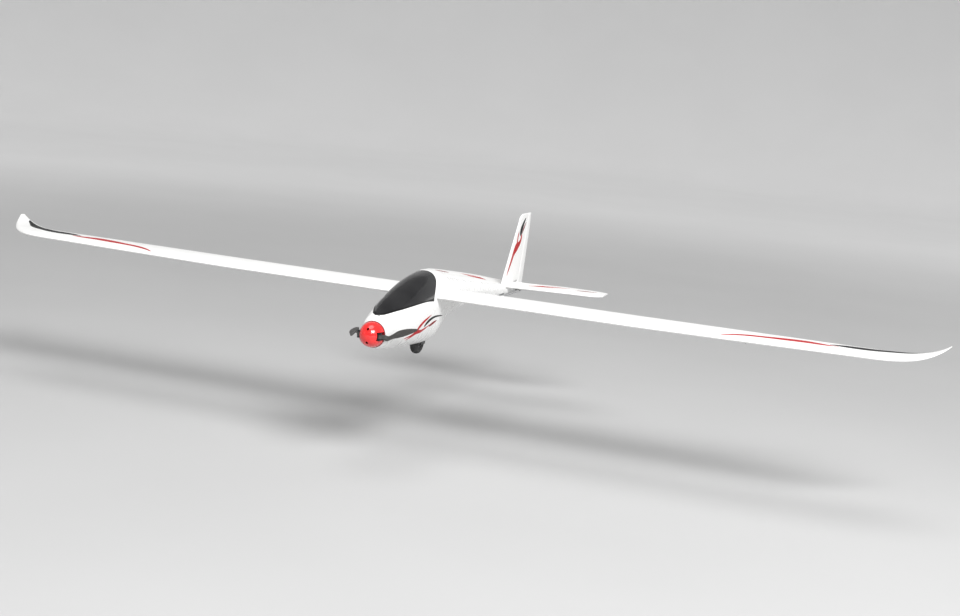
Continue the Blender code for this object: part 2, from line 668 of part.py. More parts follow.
def make_tail():
    spans = [-x for x in reversed(TAIL_SPANS)] + list(TAIL_SPANS[1:])
    rings = []
    for x in spans:
        half = tail_half(abs(x))
        section = plank_section(tail_front(abs(x)), ELEVATOR_HINGE - half - COVE_GAP, half)
        rings.append([(x, s, TAIL_HEIGHT + h) for s, h in section])
    stabiliser = loft("stabiliser", rings)
    cut(stabiliser, tail_screw_hole("stabiliser"))
    finish_part(stabiliser, WHITE, 0.3)

    halves = []
    for side in (1, -1):
        inner = [ELEVATOR_INNER] + list(TAIL_SPANS[1:-1]) + [TAIL_HALF_SPAN - 0.001]
        halves.append(loft("elevator", [
            [(side * x, s, TAIL_HEIGHT + h)
             for s, h in hinged_section(ELEVATOR_HINGE, tail_back(x), tail_half(x))]
            for x in inner]))
    bar = cylinder("elevator_joiner", (-0.020, ELEVATOR_HINGE, TAIL_HEIGHT),
                   (0.020, ELEVATOR_HINGE, TAIL_HEIGHT), 0.0024, 12)
    elevator = join(halves[0], halves[1], bar)
    elevator.name = "elevator"
    finish_part(elevator, WHITE, 0.3, pivot=(0, ELEVATOR_HINGE, TAIL_HEIGHT))

    fin_heights = (FIN_BASE, 0.060, 0.120, 0.170, 0.185, 0.195, 0.202, FIN_TOP)
    fin = loft("fin", [
        [(x, s, z) for s, x in plank_section(
            fin_front(z), rudder_hinge(z) - rudder_half(z) - COVE_GAP - 0.0002, rudder_half(z))]
        for z in fin_heights])
    cut(fin, tail_screw_hole("fin"))
    finish_part(fin, WHITE, 0.3)

    rudder_heights = (RUDDER_BOTTOM, -0.010, 0.006, 0.060, 0.120, 0.171, 0.196, FIN_TOP)
    rudder = loft("rudder", [
        [(x, s, z) for s, x in hinged_section(
            rudder_hinge(z), rudder_back(z), rudder_half(z))] for z in rudder_heights])
    finish_part(rudder, WHITE, 0.3, pivot=(0, RUDDER_HINGE, 0))

    station = TAIL_SCREW_STATION
    seat = body_at(station)[2] - GAP
    screw = cylinder("tail_screw", (0, station, seat - 0.0002), (0, station, 0.032),
                     TAIL_SCREW_RADIUS, 12)
    join(screw, cylinder("head", (0, station, seat - 0.0020), (0, station, seat), 0.0028, 12))
    finish_part(screw, METAL, 0.3, 1.0)

    lower = TAIL_HEIGHT - tail_half(ELEVATOR_INNER) - 2 * GAP
    hinge, tip = ELEVATOR_HINGE, ELEVATOR_ROD_HEIGHT
    horn = plate("elevator_horn",
                 [(hinge + 0.003, lower), (hinge + 0.015, lower + 0.0008),
                  (hinge + 0.0022, tip - 0.002), (hinge - 0.0018, tip - 0.002),
                  (hinge - 0.0018, tip + 0.002)], 0.0143, 0.0157)
    finish_part(horn, BLACK, 0.45, pivot=(0.0143, hinge, TAIL_HEIGHT))
    hinge = rudder_hinge(RUDDER_ROD_HEIGHT)
    side_x = rudder_half(0.0) + 2 * GAP
    outline = [(side_x, hinge + 0.002), (side_x - 0.0010, hinge + 0.014),
               (0.0158, hinge + 0.0018), (0.0158, hinge - 0.0018), (0.0120, hinge - 0.0018)]
    rudder_horn = loft("rudder_horn", [[(x, s, RUDDER_ROD_HEIGHT + dz) for x, s in outline]
                                       for dz in (-0.0008, 0.0008)])
    finish_part(rudder_horn, BLACK, 0.45, pivot=(0, hinge, RUDDER_ROD_HEIGHT))


# ------------------------------------------------------------------ radio gear inside the pod
TRAY_TOP = -0.0280
TRAY_ENDS = (0.058, 0.254)
PLY = 0.0018                    # thickness of the wooden trays
SHELF_TOP = 0.0005
SHELF_ENDS = (0.346, 0.434)
SHELF_SERVO_X = 0.0160
SHELF_SERVO_TOP = SHELF_TOP + 0.0215
SHELF_ARM_STATION = 0.4010
SHELF_ARM_LENGTH = 0.0125
SHELF_ARM_HEIGHT = SHELF_SERVO_TOP + 0.0013
SHELF_WIRE_HEIGHT = SHELF_ARM_HEIGHT + 0.0021


def make_radio_gear():
    tray = box("battery_tray", (-0.06, TRAY_ENDS[0], TRAY_TOP - PLY), (0.06, TRAY_ENDS[1], TRAY_TOP))
    finish_part(trim_to_hull(tray), WOOD, 0.6)
    speed = box("speed_controller", (-0.0125, 0.062, TRAY_TOP + GAP), (0.0125, 0.100, -0.0190))
    finish_part(speed, (0.05, 0.10, 0.30), 0.5)
    battery = box("battery", (-0.0150, 0.106, TRAY_TOP + GAP), (0.0150, 0.204, -0.0040))
    bevel = battery.modifiers.new("edges", "BEVEL")
    bevel.width = 0.002
    bevel.segments = 2
    finish_part(battery, (0.12, 0.13, 0.16), 0.4)
    strap = box("battery_strap", (-0.0163, 0.146, TRAY_TOP + GAP), (0.0163, 0.164, -0.0028))
    cut(strap, box("strap_inside", (-0.0154, 0.14, -0.05), (0.0154, 0.17, -0.0036), cutter=True))
    finish_part(strap, BLACK, 0.8)
    shelf = box("servo_tray", (-0.06, SHELF_ENDS[0], SHELF_TOP - PLY),
                (0.06, SHELF_ENDS[1], SHELF_TOP))
    finish_part(trim_to_hull(shelf), WOOD, 0.6)
    finish_part(box("receiver", (-0.0110, 0.350, SHELF_TOP + GAP), (0.0110, 0.383, 0.0135)),
                (0.05, 0.05, 0.06), 0.4)
    for name, side in (("elevator", -1), ("rudder", 1)):
        x = side * SHELF_SERVO_X
        servo = box(name + "_servo", (x - 0.006, 0.3925, SHELF_TOP + GAP),
                    (x + 0.006, 0.4155, SHELF_SERVO_TOP))
        finish_part(servo, BLACK, 0.5)
        upper = [(x + side * 0.0032 * math.cos(a), SHELF_ARM_STATION + 0.0032 * math.sin(a))
                 for a in [math.radians(90 - 45 * i) for i in range(5)]]
        tip_x = x - side * SHELF_ARM_LENGTH
        lower = [(tip_x - side * 0.0018 * math.cos(a), SHELF_ARM_STATION - 0.0018 * math.sin(a))
                 for a in [math.radians(90 - 45 * i) for i in range(5)]]
        arm = loft("servo_arm_" + name, [[(px, ps, SHELF_ARM_HEIGHT + dz)
                                          for px, ps in upper + lower]
                                         for dz in (-0.0007, 0.0007)])
        finish_part(arm, BLACK, 0.45, pivot=(x, SHELF_ARM_STATION, SHELF_ARM_HEIGHT))
    start_x = SHELF_SERVO_X - SHELF_ARM_LENGTH
    finish_part(rod("pushrod_elevator",
                    [(-start_x, SHELF_ARM_STATION - 0.002, SHELF_WIRE_HEIGHT),
                     (-start_x, 0.460, SHELF_WIRE_HEIGHT), (0.0095, 0.880, -0.0025),
                     (TAIL_WIRE_X, 0.935, ELEVATOR_ROD_HEIGHT),
                     (TAIL_WIRE_X, ELEVATOR_HINGE + 0.002, ELEVATOR_ROD_HEIGHT)], WIRE_RADIUS),
                METAL, 0.3, 1.0)
    finish_part(rod("pushrod_rudder",
                    [(start_x, SHELF_ARM_STATION - 0.002, SHELF_WIRE_HEIGHT),
                     (start_x, 0.460, SHELF_WIRE_HEIGHT), (0.0050, 0.875, -0.0070),
                     (TAIL_WIRE_X + 0.0003, 0.935, RUDDER_ROD_HEIGHT),
                     (TAIL_WIRE_X + 0.0003, rudder_hinge(RUDDER_ROD_HEIGHT) + 0.002,
                      RUDDER_ROD_HEIGHT)], WIRE_RADIUS),
                METAL, 0.3, 1.0)


# ------------------------------------------------------------------------- motor and propeller
SHAFT_RADIUS = 0.0020
YOKE_HALF_HEIGHT = 0.0082
LUG_HALF_HEIGHT = 0.0044
BLADE_PIN_RADIUS = 0.0013
# blade stations: distance from the pin, half chord, half thickness, centre height, twist
BLADE_SECTIONS = (
    (0.0045, 0.0040, 0.0022, 0.0000, 0),
    (0.0130, 0.0040, 0.0021, -0.0025, -8),
    (0.0220, 0.0052, 0.0018, -0.0052, -22),
    (0.0320, 0.0085, 0.0016, -0.0012, -32),
    (0.0420, 0.0118, 0.0014, 0.0030, -34),
    (0.0560, 0.0120, 0.0012, 0.0055, -30),
    (0.0740, 0.0092, 0.0010, 0.0085, -24),
    (0.0890, 0.0056, 0.0008, 0.0110, -20),
    (BLADE_LENGTH, 0.0018, 0.0006, 0.0130, -18),
)


def make_motor():
    front = (0, 0, 0)
    aft = (0, 1, 0)
    mount = turned("motor_mount", [(0.0140, 0.0030), (0.0140, 0.0240), (0.0160, 0.0240),
                                   (0.0160, 0.0030), (0.0140, 0.0030)], front, aft, 24)
    finish_part(mount, METAL, 0.4, 1.0)
    stator = turned("motor_stator", [(0.0164, 0.0027), (0.0164, 0.0125), (0.0235, 0.0125),
                                     (0.0235, 0.0100), (0.0420, 0.0100), (0.0420, 0.0027),
                                     (0.0164, 0.0027)], front, aft, 24)
    finish_part(stator, (0.45, 0.25, 0.10), 0.4, 0.8)
    bell = turned("motor_bell", [(0.0245, 0.0108), (0.0245, 0.0140), (0.0460, 0.0140),
                                 (0.0475, 0.0125), (0.0475, 0.0024), (0.0430, 0.0024),
                                 (0.0430, 0.0108), (0.0245, 0.0108)], front, aft, 24)
    finish_part(bell, (0.08, 0.08, 0.09), 0.3, 0.9, pivot=(0, 0.036, 0))
    shaft = cylinder("prop_shaft", (0, -0.0245, 0), (0, 0.0520, 0), SHAFT_RADIUS, 16)
    finish_part(shaft, METAL, 0.25, 1.0, pivot=(0, 0, 0))
    back = turned("spinner_backplate", [(0.0002, 0.0024), (0.0002, BACKPLATE_RADIUS),
                                        (0.0028, BACKPLATE_RADIUS), (0.0028, 0.0024),
                                        (0.0002, 0.0024)], front, aft, 40)
    finish_part(back, (0.35, 0.02, 0.02), 0.3, pivot=(0, 0, 0))


def make_spinner():
    outer = [(-SPINNER_LENGTH * math.sin(math.radians(a)),
              SPINNER_RADIUS * math.cos(math.radians(a))) for a in range(0, 91, 10)]
    wall = 0.0013
    scale_r = (SPINNER_RADIUS - wall) / SPINNER_RADIUS
    scale_s = (SPINNER_LENGTH - wall) / SPINNER_LENGTH
    inner = [(s * scale_s, r * scale_r) for s, r in reversed(outer)]
    outer[-1] = (-SPINNER_LENGTH, 0.0)
    inner[0] = (-SPINNER_LENGTH + wall, 0.0)
    cone = turned("spinner_cone", outer + inner + [outer[0]], (0, 0, 0), (0, 1, 0), 40)
    slots = [box("blade_slot_%d" % side, (min(0, side * 0.05) + (0.0125 if side > 0 else 0),
                                          -0.0235, -YOKE_HALF_HEIGHT - 0.0012),
                 (max(0, side * 0.05) - (0.0125 if side < 0 else 0), 0.010,
                  YOKE_HALF_HEIGHT + 0.0012), cutter=True) for side in (1, -1)]
    eyes = [cylinder("spinner_hole_%d" % side, (0, -0.06, side * 0.0150),
                     (0, -0.010, side * 0.0150), 0.0028, 16, cutter=True) for side in (1, -1)]
    cut(cone, *slots, *eyes)
    finish_part(cone, RED, 0.2, pivot=(0, 0, 0))


def blade_point(along, height, thickness, twist):
    """A point of a folded port blade, from its distance along the blade, its height and its
    offset across the thin side."""
    c, s = math.cos(twist), math.sin(twist)
    across, up = thickness * c - height * s, thickness * s + height * c
    x = BLADE_PIVOT_RADIUS + along * math.sin(BLADE_SPLAY) + across * math.cos(BLADE_SPLAY)
    station = BLADE_PIVOT_STATION + along * math.cos(BLADE_SPLAY) - across * math.sin(BLADE_SPLAY)
    return x, station, up


def blade_ring(along, chord, half, centre, twist):
    """A lens-shaped blade section."""
    ring = []
    for i in range(10):
        a = 2 * math.pi * i / 10
        x, s, z = blade_point(along, chord * math.cos(a), half * math.sin(a),
                              math.radians(twist))
        ring.append((x, s, z + centre))
    return ring


def make_propeller():
    yoke = box("prop_yoke", (-BLADE_PIVOT_RADIUS - 0.0030, -0.0205, -YOKE_HALF_HEIGHT),
               (BLADE_PIVOT_RADIUS + 0.0030, -0.0115, YOKE_HALF_HEIGHT))
    tools = [cylinder("yoke_bore", (0, -0.04, 0), (0, 0.02, 0), SHAFT_RADIUS + GAP, 16,
                      cutter=True)]
    for side, label in ((1, "port"), (-1, "starboard")):
        x = side * BLADE_PIVOT_RADIUS
        tools.append(box("yoke_gap_%d" % side,
                         (min(side * 0.0160, side * 0.04), -0.03, -LUG_HALF_HEIGHT - GAP),
                         (max(side * 0.0160, side * 0.04), 0.01, LUG_HALF_HEIGHT + GAP),
                         cutter=True))
        tools.append(cylinder("pin_bore_%d" % side, (x, BLADE_PIVOT_STATION, -0.02),
                              (x, BLADE_PIVOT_STATION, 0.02), BLADE_PIN_RADIUS + 0.00015, 12,
                              cutter=True))
        pin = cylinder("blade_pin_" + label, (x, BLADE_PIVOT_STATION, -YOKE_HALF_HEIGHT),
                       (x, BLADE_PIVOT_STATION, YOKE_HALF_HEIGHT), BLADE_PIN_RADIUS, 12)
        finish_part(pin, METAL, 0.3, 1.0, pivot=(0, 0, 0))
    cut(yoke, *tools)
    finish_part(yoke, METAL, 0.35, 1.0, pivot=(0, 0, 0))
    for side, label in ((1, "port"), (-1, "starboard")):
        rings = [[(side * x, s, side * z) for x, s, z in blade_ring(*section)]
                 for section in BLADE_SECTIONS]
        blade = loft("blade_" + label, rings)
        x = side * BLADE_PIVOT_RADIUS
        lug = cylinder("lug", (x, BLADE_PIVOT_STATION, -LUG_HALF_HEIGHT),
                       (x, BLADE_PIVOT_STATION, LUG_HALF_HEIGHT), 0.0050, 16)
        join(blade, lug)
        cut(blade, cylinder("blade_bore_" + label, (x, BLADE_PIVOT_STATION, -0.02),
                            (x, BLADE_PIVOT_STATION, 0.02), BLADE_PIN_RADIUS + 0.00015, 12,
                            cutter=True))
        finish_part(blade, BLACK, 0.35, pivot=(x, BLADE_PIVOT_STATION, 0))


# --------------------------------------------------------------------------------- main wheel
def make_wheel():
    centre = (0, WHEEL_STATION, WHEEL_HEIGHT)
    half = TYRE_WIDTH / 2
    rim = 0.0135
    crown = [(half * math.sin(math.radians(a)) * 0.98,
              TYRE_RADIUS - 0.0075 + 0.0075 * math.cos(math.radians(a)))
             for a in range(-80, 81, 20)]
    profile = [(-half * 0.75, rim)] + crown + [(half * 0.75, rim)]
    tyre = turned("tyre", profile + [profile[0]], centre, (1, 0, 0), 36)
    finish_part(tyre, BLACK, 0.8, pivot=centre)
    hub_profile = [(-0.0070, 0.0017), (-0.0070, 0.0050), (-0.0040, 0.0060), (-0.0040, 0.0105),
                   (-0.0065, 0.0110), (-0.0065, rim - GAP), (0.0065, rim - GAP),
                   (0.0065, 0.0110), (0.0040, 0.0105), (0.0040, 0.0060), (0.0070, 0.0050),
                   (0.0070, 0.0017), (-0.0070, 0.0017)]
    hub = turned("wheel_hub", hub_profile, centre, (1, 0, 0), 24)
    finish_part(hub, (0.7, 0.7, 0.7), 0.4, pivot=centre)
    axle = cylinder("wheel_axle", (-0.0150, WHEEL_STATION, WHEEL_HEIGHT),
                    (0.0150, WHEEL_STATION, WHEEL_HEIGHT), 0.0015, 12)
    finish_part(axle, METAL, 0.25, 1.0)
    bracket = box("wheel_bracket", (-0.0150, WHEEL_STATION - 0.014, -0.0600),
                  (0.0150, WHEEL_STATION + 0.014, BRACKET_TOP))
    floor = box("bracket_floor", (-0.06, WHEEL_STATION - 0.014, BRACKET_TOP - 0.002),
                (0.06, WHEEL_STATION + 0.014, BRACKET_TOP))
    join(bracket, trim_to_hull(floor))
    cut(bracket, box("bracket_inside", (-0.0128, WHEEL_STATION - 0.03, -0.08),
                     (0.0128, WHEEL_STATION + 0.03, BRACKET_TOP - 0.002), cutter=True),
        cylinder("axle_hole", (-0.03, WHEEL_STATION, WHEEL_HEIGHT),
                 (0.03, WHEEL_STATION, WHEEL_HEIGHT), 0.0018, 12, cutter=True))
    finish_part(bracket, BLACK, 0.5)


make_fuselage()
make_canopy()
make_joiner()
for hand, hand_name in ((1, "port"), (-1, "starboard")):
    make_wing(hand, hand_name)
make_tail()
make_radio_gear()
make_motor()
make_spinner()
make_propeller()
make_wheel()
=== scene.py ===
"""The finished look of the RC glider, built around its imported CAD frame.

Shapes are drawn in the designer's frame (X to port, station aft of the spinner's base, height
above the thrust line) and carried into the model's frame by DATUM.
"""
import math

import bmesh
import bpy
from mathutils import Matrix, Vector


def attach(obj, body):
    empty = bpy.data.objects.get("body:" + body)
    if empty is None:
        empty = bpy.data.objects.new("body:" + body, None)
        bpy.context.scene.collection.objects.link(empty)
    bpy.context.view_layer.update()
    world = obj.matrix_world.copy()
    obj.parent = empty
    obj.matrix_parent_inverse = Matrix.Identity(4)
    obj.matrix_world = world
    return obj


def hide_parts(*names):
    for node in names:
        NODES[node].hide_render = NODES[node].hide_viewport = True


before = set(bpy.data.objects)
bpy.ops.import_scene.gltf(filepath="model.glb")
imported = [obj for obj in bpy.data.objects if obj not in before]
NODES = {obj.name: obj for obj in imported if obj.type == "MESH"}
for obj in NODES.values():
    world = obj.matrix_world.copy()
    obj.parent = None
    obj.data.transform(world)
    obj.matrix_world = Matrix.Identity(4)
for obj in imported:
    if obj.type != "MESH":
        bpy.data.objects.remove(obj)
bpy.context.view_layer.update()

# ---- driving dimensions (metres)
DATUM = Matrix.Translation((0.0, -0.571, 0.084))
GAP = 0.0003
FLOOR_HEIGHT = -0.23
HALF_SPAN = 1.2
SIDES = ((1, "port"), (-1, "starboard"))

SPINNER_LENGTH = 0.034
SPINNER_RADIUS = 0.0285
BACKPLATE_RADIUS = 0.0296
BLADE_PIVOT_RADIUS = 0.024
BLADE_PIVOT_STATION = -0.016
BLADE_SPLAY = math.radians(34)
YOKE_HALF_HEIGHT = 0.0082
LUG_HALF_HEIGHT = 0.0044
BLADE_PIN_RADIUS = 0.0013

WHEEL_STATION = 0.3
WHEEL_HEIGHT = -0.0555
TYRE_RADIUS = 0.0285
TYRE_WIDTH = 0.02

WING_ROOT = 0.0506
WING_CHORD = 0.195
WING_LE = 0.268
WING_HEIGHT = 0.06
WING_INCIDENCE = math.radians(1.5)
WING_THICKNESS = 0.092
WING_CAMBER = 0.025
WING_BREAK = 0.5
WING_TIP_START = 1.0
OUTER_SWEEP = 0.022
OUTER_SLOPE = 0.007
TIP_RISE = 0.03
TIP_RAKE = 0.168
WING_HINGE = 0.4162
TRAILING_HALF = 0.0006
FLAP_ENDS = (0.063, 0.5)
AILERON_ENDS = (0.503, 1.0)
SURFACE_END_GAP = 0.0012
COVE_GAP = 0.0008
SERVO_SPANS = {"flap": 0.285, "aileron": 0.745}
SERVO_STATION = 0.352
SERVO_LENGTH = 0.023
SERVO_HALF_SPAN = 0.012
SERVO_THICKNESS = 0.01
ARM_FORWARD = 0.0075
JOINER_STATION = WING_LE + 0.3 * WING_CHORD
JOINER_RADIUS = 0.005
PIN_STATION = 0.394
PIN_RADIUS = 0.002

TAIL_HEIGHT = 0.0136
TAIL_HALF_SPAN = 0.2675
TAIL_THICKNESS = 0.009
TAIL_TIP_START = 0.225
ELEVATOR_HINGE = 1.05
ELEVATOR_INNER = 0.012
RUDDER_HINGE = 1.0985
RUDDER_LEAN = 0.25
RUDDER_END = 1.176
RUDDER_BOTTOM = -0.018
FIN_TOP = 0.2055
FIN_TIP_START = 0.185
RUDDER_KINK = (1.1525, 0.006)   # station and height of its trailing edge's lower corner
STABILISER_BACK = 1.0444        # how far aft a print on the stabiliser's top may run
FIN_BASE = TAIL_HEIGHT + TAIL_THICKNESS / 2 + GAP
TAIL_SEAT = TAIL_HEIGHT - TAIL_THICKNESS / 2 - GAP
TAIL_SCREW_STATION = 1.012

TRAY_TOP = -0.028
SHELF_TOP = 0.0005
SHELF_SERVO_TOP = SHELF_TOP + 0.0215

FILM_LIFT = 0.00012             # a printed film's outer face above the skin it lies on
FILM_SINK = 0.0001
FILM_STEP = 0.00006             # from one film to one that is printed over it


# ---- mesh helpers
def add_piece(name, bm, finish, body, replaces=(), sharp=35):
    """Turn a mesh drawn in the designer's frame into a shown piece of the model."""
    finish_object(plain_object(name, bm), finish, body, replaces, sharp)


def finish_object(obj, finish, body, replaces=(), sharp=30):
    obj.data.materials.clear()
    obj.data.materials.append(finish)
    obj.data.shade_smooth()
    obj.data.set_sharp_from_angle(angle=math.radians(sharp))
    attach(obj, body)
    if replaces:
        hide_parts(*replaces)


def plain_object(name, bm):
    bmesh.ops.transform(bm, verts=bm.verts, matrix=DATUM)
    bmesh.ops.recalc_face_normals(bm, faces=bm.faces)
    mesh = bpy.data.meshes.new(name)
    bm.to_mesh(mesh)
    bm.free()
    obj = bpy.data.objects.new(name, mesh)
    bpy.context.scene.collection.objects.link(obj)
    return obj


def add_loft(bm, rings, closed_ends=True):
    """Skin closed rings of equal point counts."""
    loops = [[bm.verts.new(point) for point in ring] for ring in rings]
    count = len(rings[0])
    for first, second in zip(loops, loops[1:]):
        for i in range(count):
            j = (i + 1) % count
            bm.faces.new((first[i], first[j], second[j], second[i]))
    if closed_ends:
        bm.faces.new(loops[0])
        bm.faces.new(loops[-1])
    return bm


def loft(rings):
    return add_loft(bmesh.new(), rings)


def add_box(bm, low, high, round_by=0.0, steps=2):
    """A box, with its edges rounded if asked."""
    low, high = Vector(low), Vector(high)
    made = bmesh.ops.create_cube(bm, size=1.0)
    verts = made["verts"]
    bmesh.ops.transform(bm, verts=verts, matrix=Matrix.Translation((low + high) / 2)
                        @ Matrix.Diagonal((*(high - low), 1.0)))
    if round_by:
        edges = {edge for vert in verts for edge in vert.link_edges}
        bmesh.ops.bevel(bm, geom=list(edges), offset=round_by, segments=steps, profile=0.5,
                        affect="EDGES", clamp_overlap=True)
    return bm


def add_cylinder(bm, start, end, radius, sides=24):
    start, end = Vector(start), Vector(end)
    line = end - start
    turn = Vector((0, 0, 1)).rotation_difference(line).to_matrix().to_4x4()
    bmesh.ops.create_cone(bm, cap_ends=True, segments=sides, radius1=radius, radius2=radius,
                          depth=line.length, matrix=Matrix.Translation((start + end) / 2) @ turn)
    return bm


def add_turned(bm, profile, centre, axis, segments=64):
    """Turn a closed (along, radius) profile about an axis."""
    turn = Vector((0, 0, 1)).rotation_difference(Vector(axis)).to_matrix().to_4x4()
    place = Matrix.Translation(centre) @ turn
    rings = []
    for i in range(segments):
        a = 2 * math.pi * i / segments
        rings.append([bm.verts.new(place @ Vector((r * math.cos(a), r * math.sin(a), z)))
                      for z, r in profile])
    count = len(profile)
    for i in range(segments):
        first, second = rings[i], rings[(i + 1) % segments]
        for k in range(count):
            m = (k + 1) % count
            if profile[k][1] == 0 and profile[m][1] == 0:
                continue
            bm.faces.new((first[k], first[m], second[m], second[k]))
    bmesh.ops.remove_doubles(bm, verts=bm.verts, dist=1e-7)
    return bm


def subtract(obj, *meshes, operation="DIFFERENCE"):
    """Apply exact Booleans to `obj` with the given meshes as tools."""
    for bm in meshes:
        tool = plain_object("tool", bm)
        modifier = obj.modifiers.new("shape", "BOOLEAN")
        modifier.operation = operation
        modifier.solver = "EXACT"
        modifier.object = tool
        bpy.context.view_layer.update()
        result = bpy.data.meshes.new_from_object(
            obj.evaluated_get(bpy.context.evaluated_depsgraph_get()))
        obj.modifiers.clear()
        old = obj.data
        obj.data = result
        bpy.data.meshes.remove(old)
        bpy.data.objects.remove(tool, do_unlink=True)
    return obj


def smooth_path(points, per):
    """Points along a smooth curve that passes through the given ones."""
    out = []
    last = len(points) - 1
    for i in range(last):
        ring = [points[max(i - 1, 0)], points[i], points[i + 1], points[min(i + 2, last)]]
        for k in range(per):
            t = k / per
            out.append(tuple(
                0.5 * (2 * b + (c - a) * t + (2 * a - 5 * b + 4 * c - d) * t * t
                       + (3 * b - a - 3 * c + d) * t ** 3) for a, b, c, d in zip(*ring)))
    out.append(tuple(points[last]))
    return out


def ribbon(name, path, place, finish, body, across=4, per=6, keep=(-10.0, 10.0), layer=0):
    """A printed film: a (u, v, half width) path drawn on the surface that `place` maps, with
    only the part whose v lies between the two `keep` values. A film on a higher layer lies
    over the ones that it crosses."""
    lift = FILM_LIFT + layer * FILM_STEP
    samples = smooth_path(path, per)
    rows = []
    for i, (u, v, half) in enumerate(samples):
        a, b = samples[max(i - 1, 0)], samples[min(i + 1, len(samples) - 1)]
        run = math.hypot(b[0] - a[0], b[1] - a[1])
        nu, nv = (a[1] - b[1]) / run, (b[0] - a[0]) / run
        half = max(half, 0.00008)
        reach = sorted(((keep[0] - v) / nv, (keep[1] - v) / nv)) if nv else (-half, half)
        low, high = max(-half, reach[0]), min(half, reach[1])
        if high - low > 0.0001:
            rows.append([(u + nu * (low + (high - low) * k / across),
                          v + nv * (low + (high - low) * k / across))
                         for k in range(across + 1)])
    if len(rows) < 3:
        return
    bm = bmesh.new()
    top = [[bm.verts.new(place(u, v, lift)) for u, v in row] for row in rows]
    low = [[bm.verts.new(place(u, v, -FILM_SINK)) for u, v in row] for row in rows]
    close_film(bm, top, low)
    add_piece(name, bm, finish, body)


def close_film(bm, top, low):
    last, side = len(top) - 1, len(top[0]) - 1
    for i in range(last):
        for k in range(side):
            bm.faces.new((top[i][k], top[i + 1][k], top[i + 1][k + 1], top[i][k + 1]))
            bm.faces.new((low[i][k], low[i][k + 1], low[i + 1][k + 1], low[i + 1][k]))
        for k in (0, side):
            bm.faces.new((top[i][k], low[i][k], low[i + 1][k], top[i + 1][k]))
    for i in (0, last):
        for k in range(side):
            bm.faces.new((top[i][k], top[i][k + 1], low[i][k + 1], low[i][k]))


# ---- finishes
class Finish:
    """A Principled material whose detail is procedural and sized in real metres."""

    def __init__(self, name, color, roughness, metallic=0.0, coat=0.0, coat_roughness=0.05,
                 specular=0.5):
        self.mat = bpy.data.materials.new(name)
        self.mat.use_nodes = True
        self.tree = self.mat.node_tree
        self.shader = self.tree.nodes["Principled BSDF"]
        self.color = color
        for socket, value in (("Base Color", (*color, 1.0)), ("Roughness", roughness),
                              ("Metallic", metallic), ("Coat Weight", coat),
                              ("Coat Roughness", coat_roughness),
                              ("Specular IOR Level", specular)):
            self.shader.inputs[socket].default_value = value
        self.place = self.add("ShaderNodeTexCoord").outputs["Object"]

    def add(self, kind, **settings):
        node = self.tree.nodes.new(kind)
        for key, value in settings.items():
            setattr(node, key, value)
        return node

    def feed(self, socket, value):
        if isinstance(value, bpy.types.NodeSocket):
            self.tree.links.new(value, socket)
        else:
            socket.default_value = value

    def stretched(self, scale):
        node = self.add("ShaderNodeMapping")
        self.feed(node.inputs["Vector"], self.place)
        node.inputs["Scale"].default_value = scale
        return node.outputs["Vector"]

    def noise(self, size, detail=2.0, stretch=None):
        """Noise with features about `size` metres across."""
        node = self.add("ShaderNodeTexNoise")
        self.feed(node.inputs["Vector"], self.stretched(stretch) if stretch else self.place)
        node.inputs["Scale"].default_value = 1.0 / size
        node.inputs["Detail"].default_value = detail
        return node.outputs["Fac"]

    def cells(self, size, feature="DISTANCE_TO_EDGE"):
        node = self.add("ShaderNodeTexVoronoi", feature=feature)
        self.feed(node.inputs["Vector"], self.place)
        node.inputs["Scale"].default_value = 1.0 / size
        return node.outputs["Distance"]

    def bands(self, size, axis, distortion=0.0):
        """Even bands across one axis, `size` metres from one to the next."""
        node = self.add("ShaderNodeTexWave", bands_direction=axis)
        self.feed(node.inputs["Vector"], self.place)
        node.inputs["Scale"].default_value = math.pi / (10 * size)
        node.inputs["Distortion"].default_value = distortion
        return node.outputs["Fac"]

    def span(self, value, low, high, start=0.3, stop=0.7):
        """Carry a value from the range start..stop into low..high."""
        node = self.add("ShaderNodeMapRange", interpolation_type="SMOOTHSTEP")
        for socket, part in zip(("Value", "From Min", "From Max", "To Min", "To Max"),
                                (value, start, stop, low, high)):
            self.feed(node.inputs[socket], part)
        return node.outputs["Result"]

    def math(self, operation, a, b=0.0):
        node = self.add("ShaderNodeMath", operation=operation)
        self.feed(node.inputs[0], a)
        self.feed(node.inputs[1], b)
        return node.outputs[0]

    def axis(self, name):
        node = self.add("ShaderNodeSeparateXYZ")
        self.feed(node.inputs[0], self.place)
        return node.outputs[name]

    def mix(self, factor, first, second):
        node = self.add("ShaderNodeMix", data_type="RGBA")
        for index, value in ((0, factor), (6, first), (7, second)):
            if isinstance(value, tuple) and len(value) == 3:
                value = (*value, 1.0)
            self.feed(node.inputs[index], value)
        return node.outputs[2]

    def tint(self, factor, share):
        """The finish's own colour, darkened by `share` where the factor is 1."""
        dark = tuple(c * (1 - share) for c in self.color)
        return self.mix(factor, self.color, dark)

    def paint(self, color):
        self.feed(self.shader.inputs["Base Color"], color)
        return self

    def gloss(self, roughness):
        self.feed(self.shader.inputs["Roughness"], roughness)
        return self

    def relief(self, height, depth, coat=False):
        node = self.add("ShaderNodeBump")
        node.inputs["Strength"].default_value = 1.0
        node.inputs["Distance"].default_value = depth
        self.feed(node.inputs["Height"], height)
        self.feed(self.shader.inputs["Normal"], node.outputs["Normal"])
        if coat:
            self.feed(self.shader.inputs["Coat Normal"], node.outputs["Normal"])
        return self


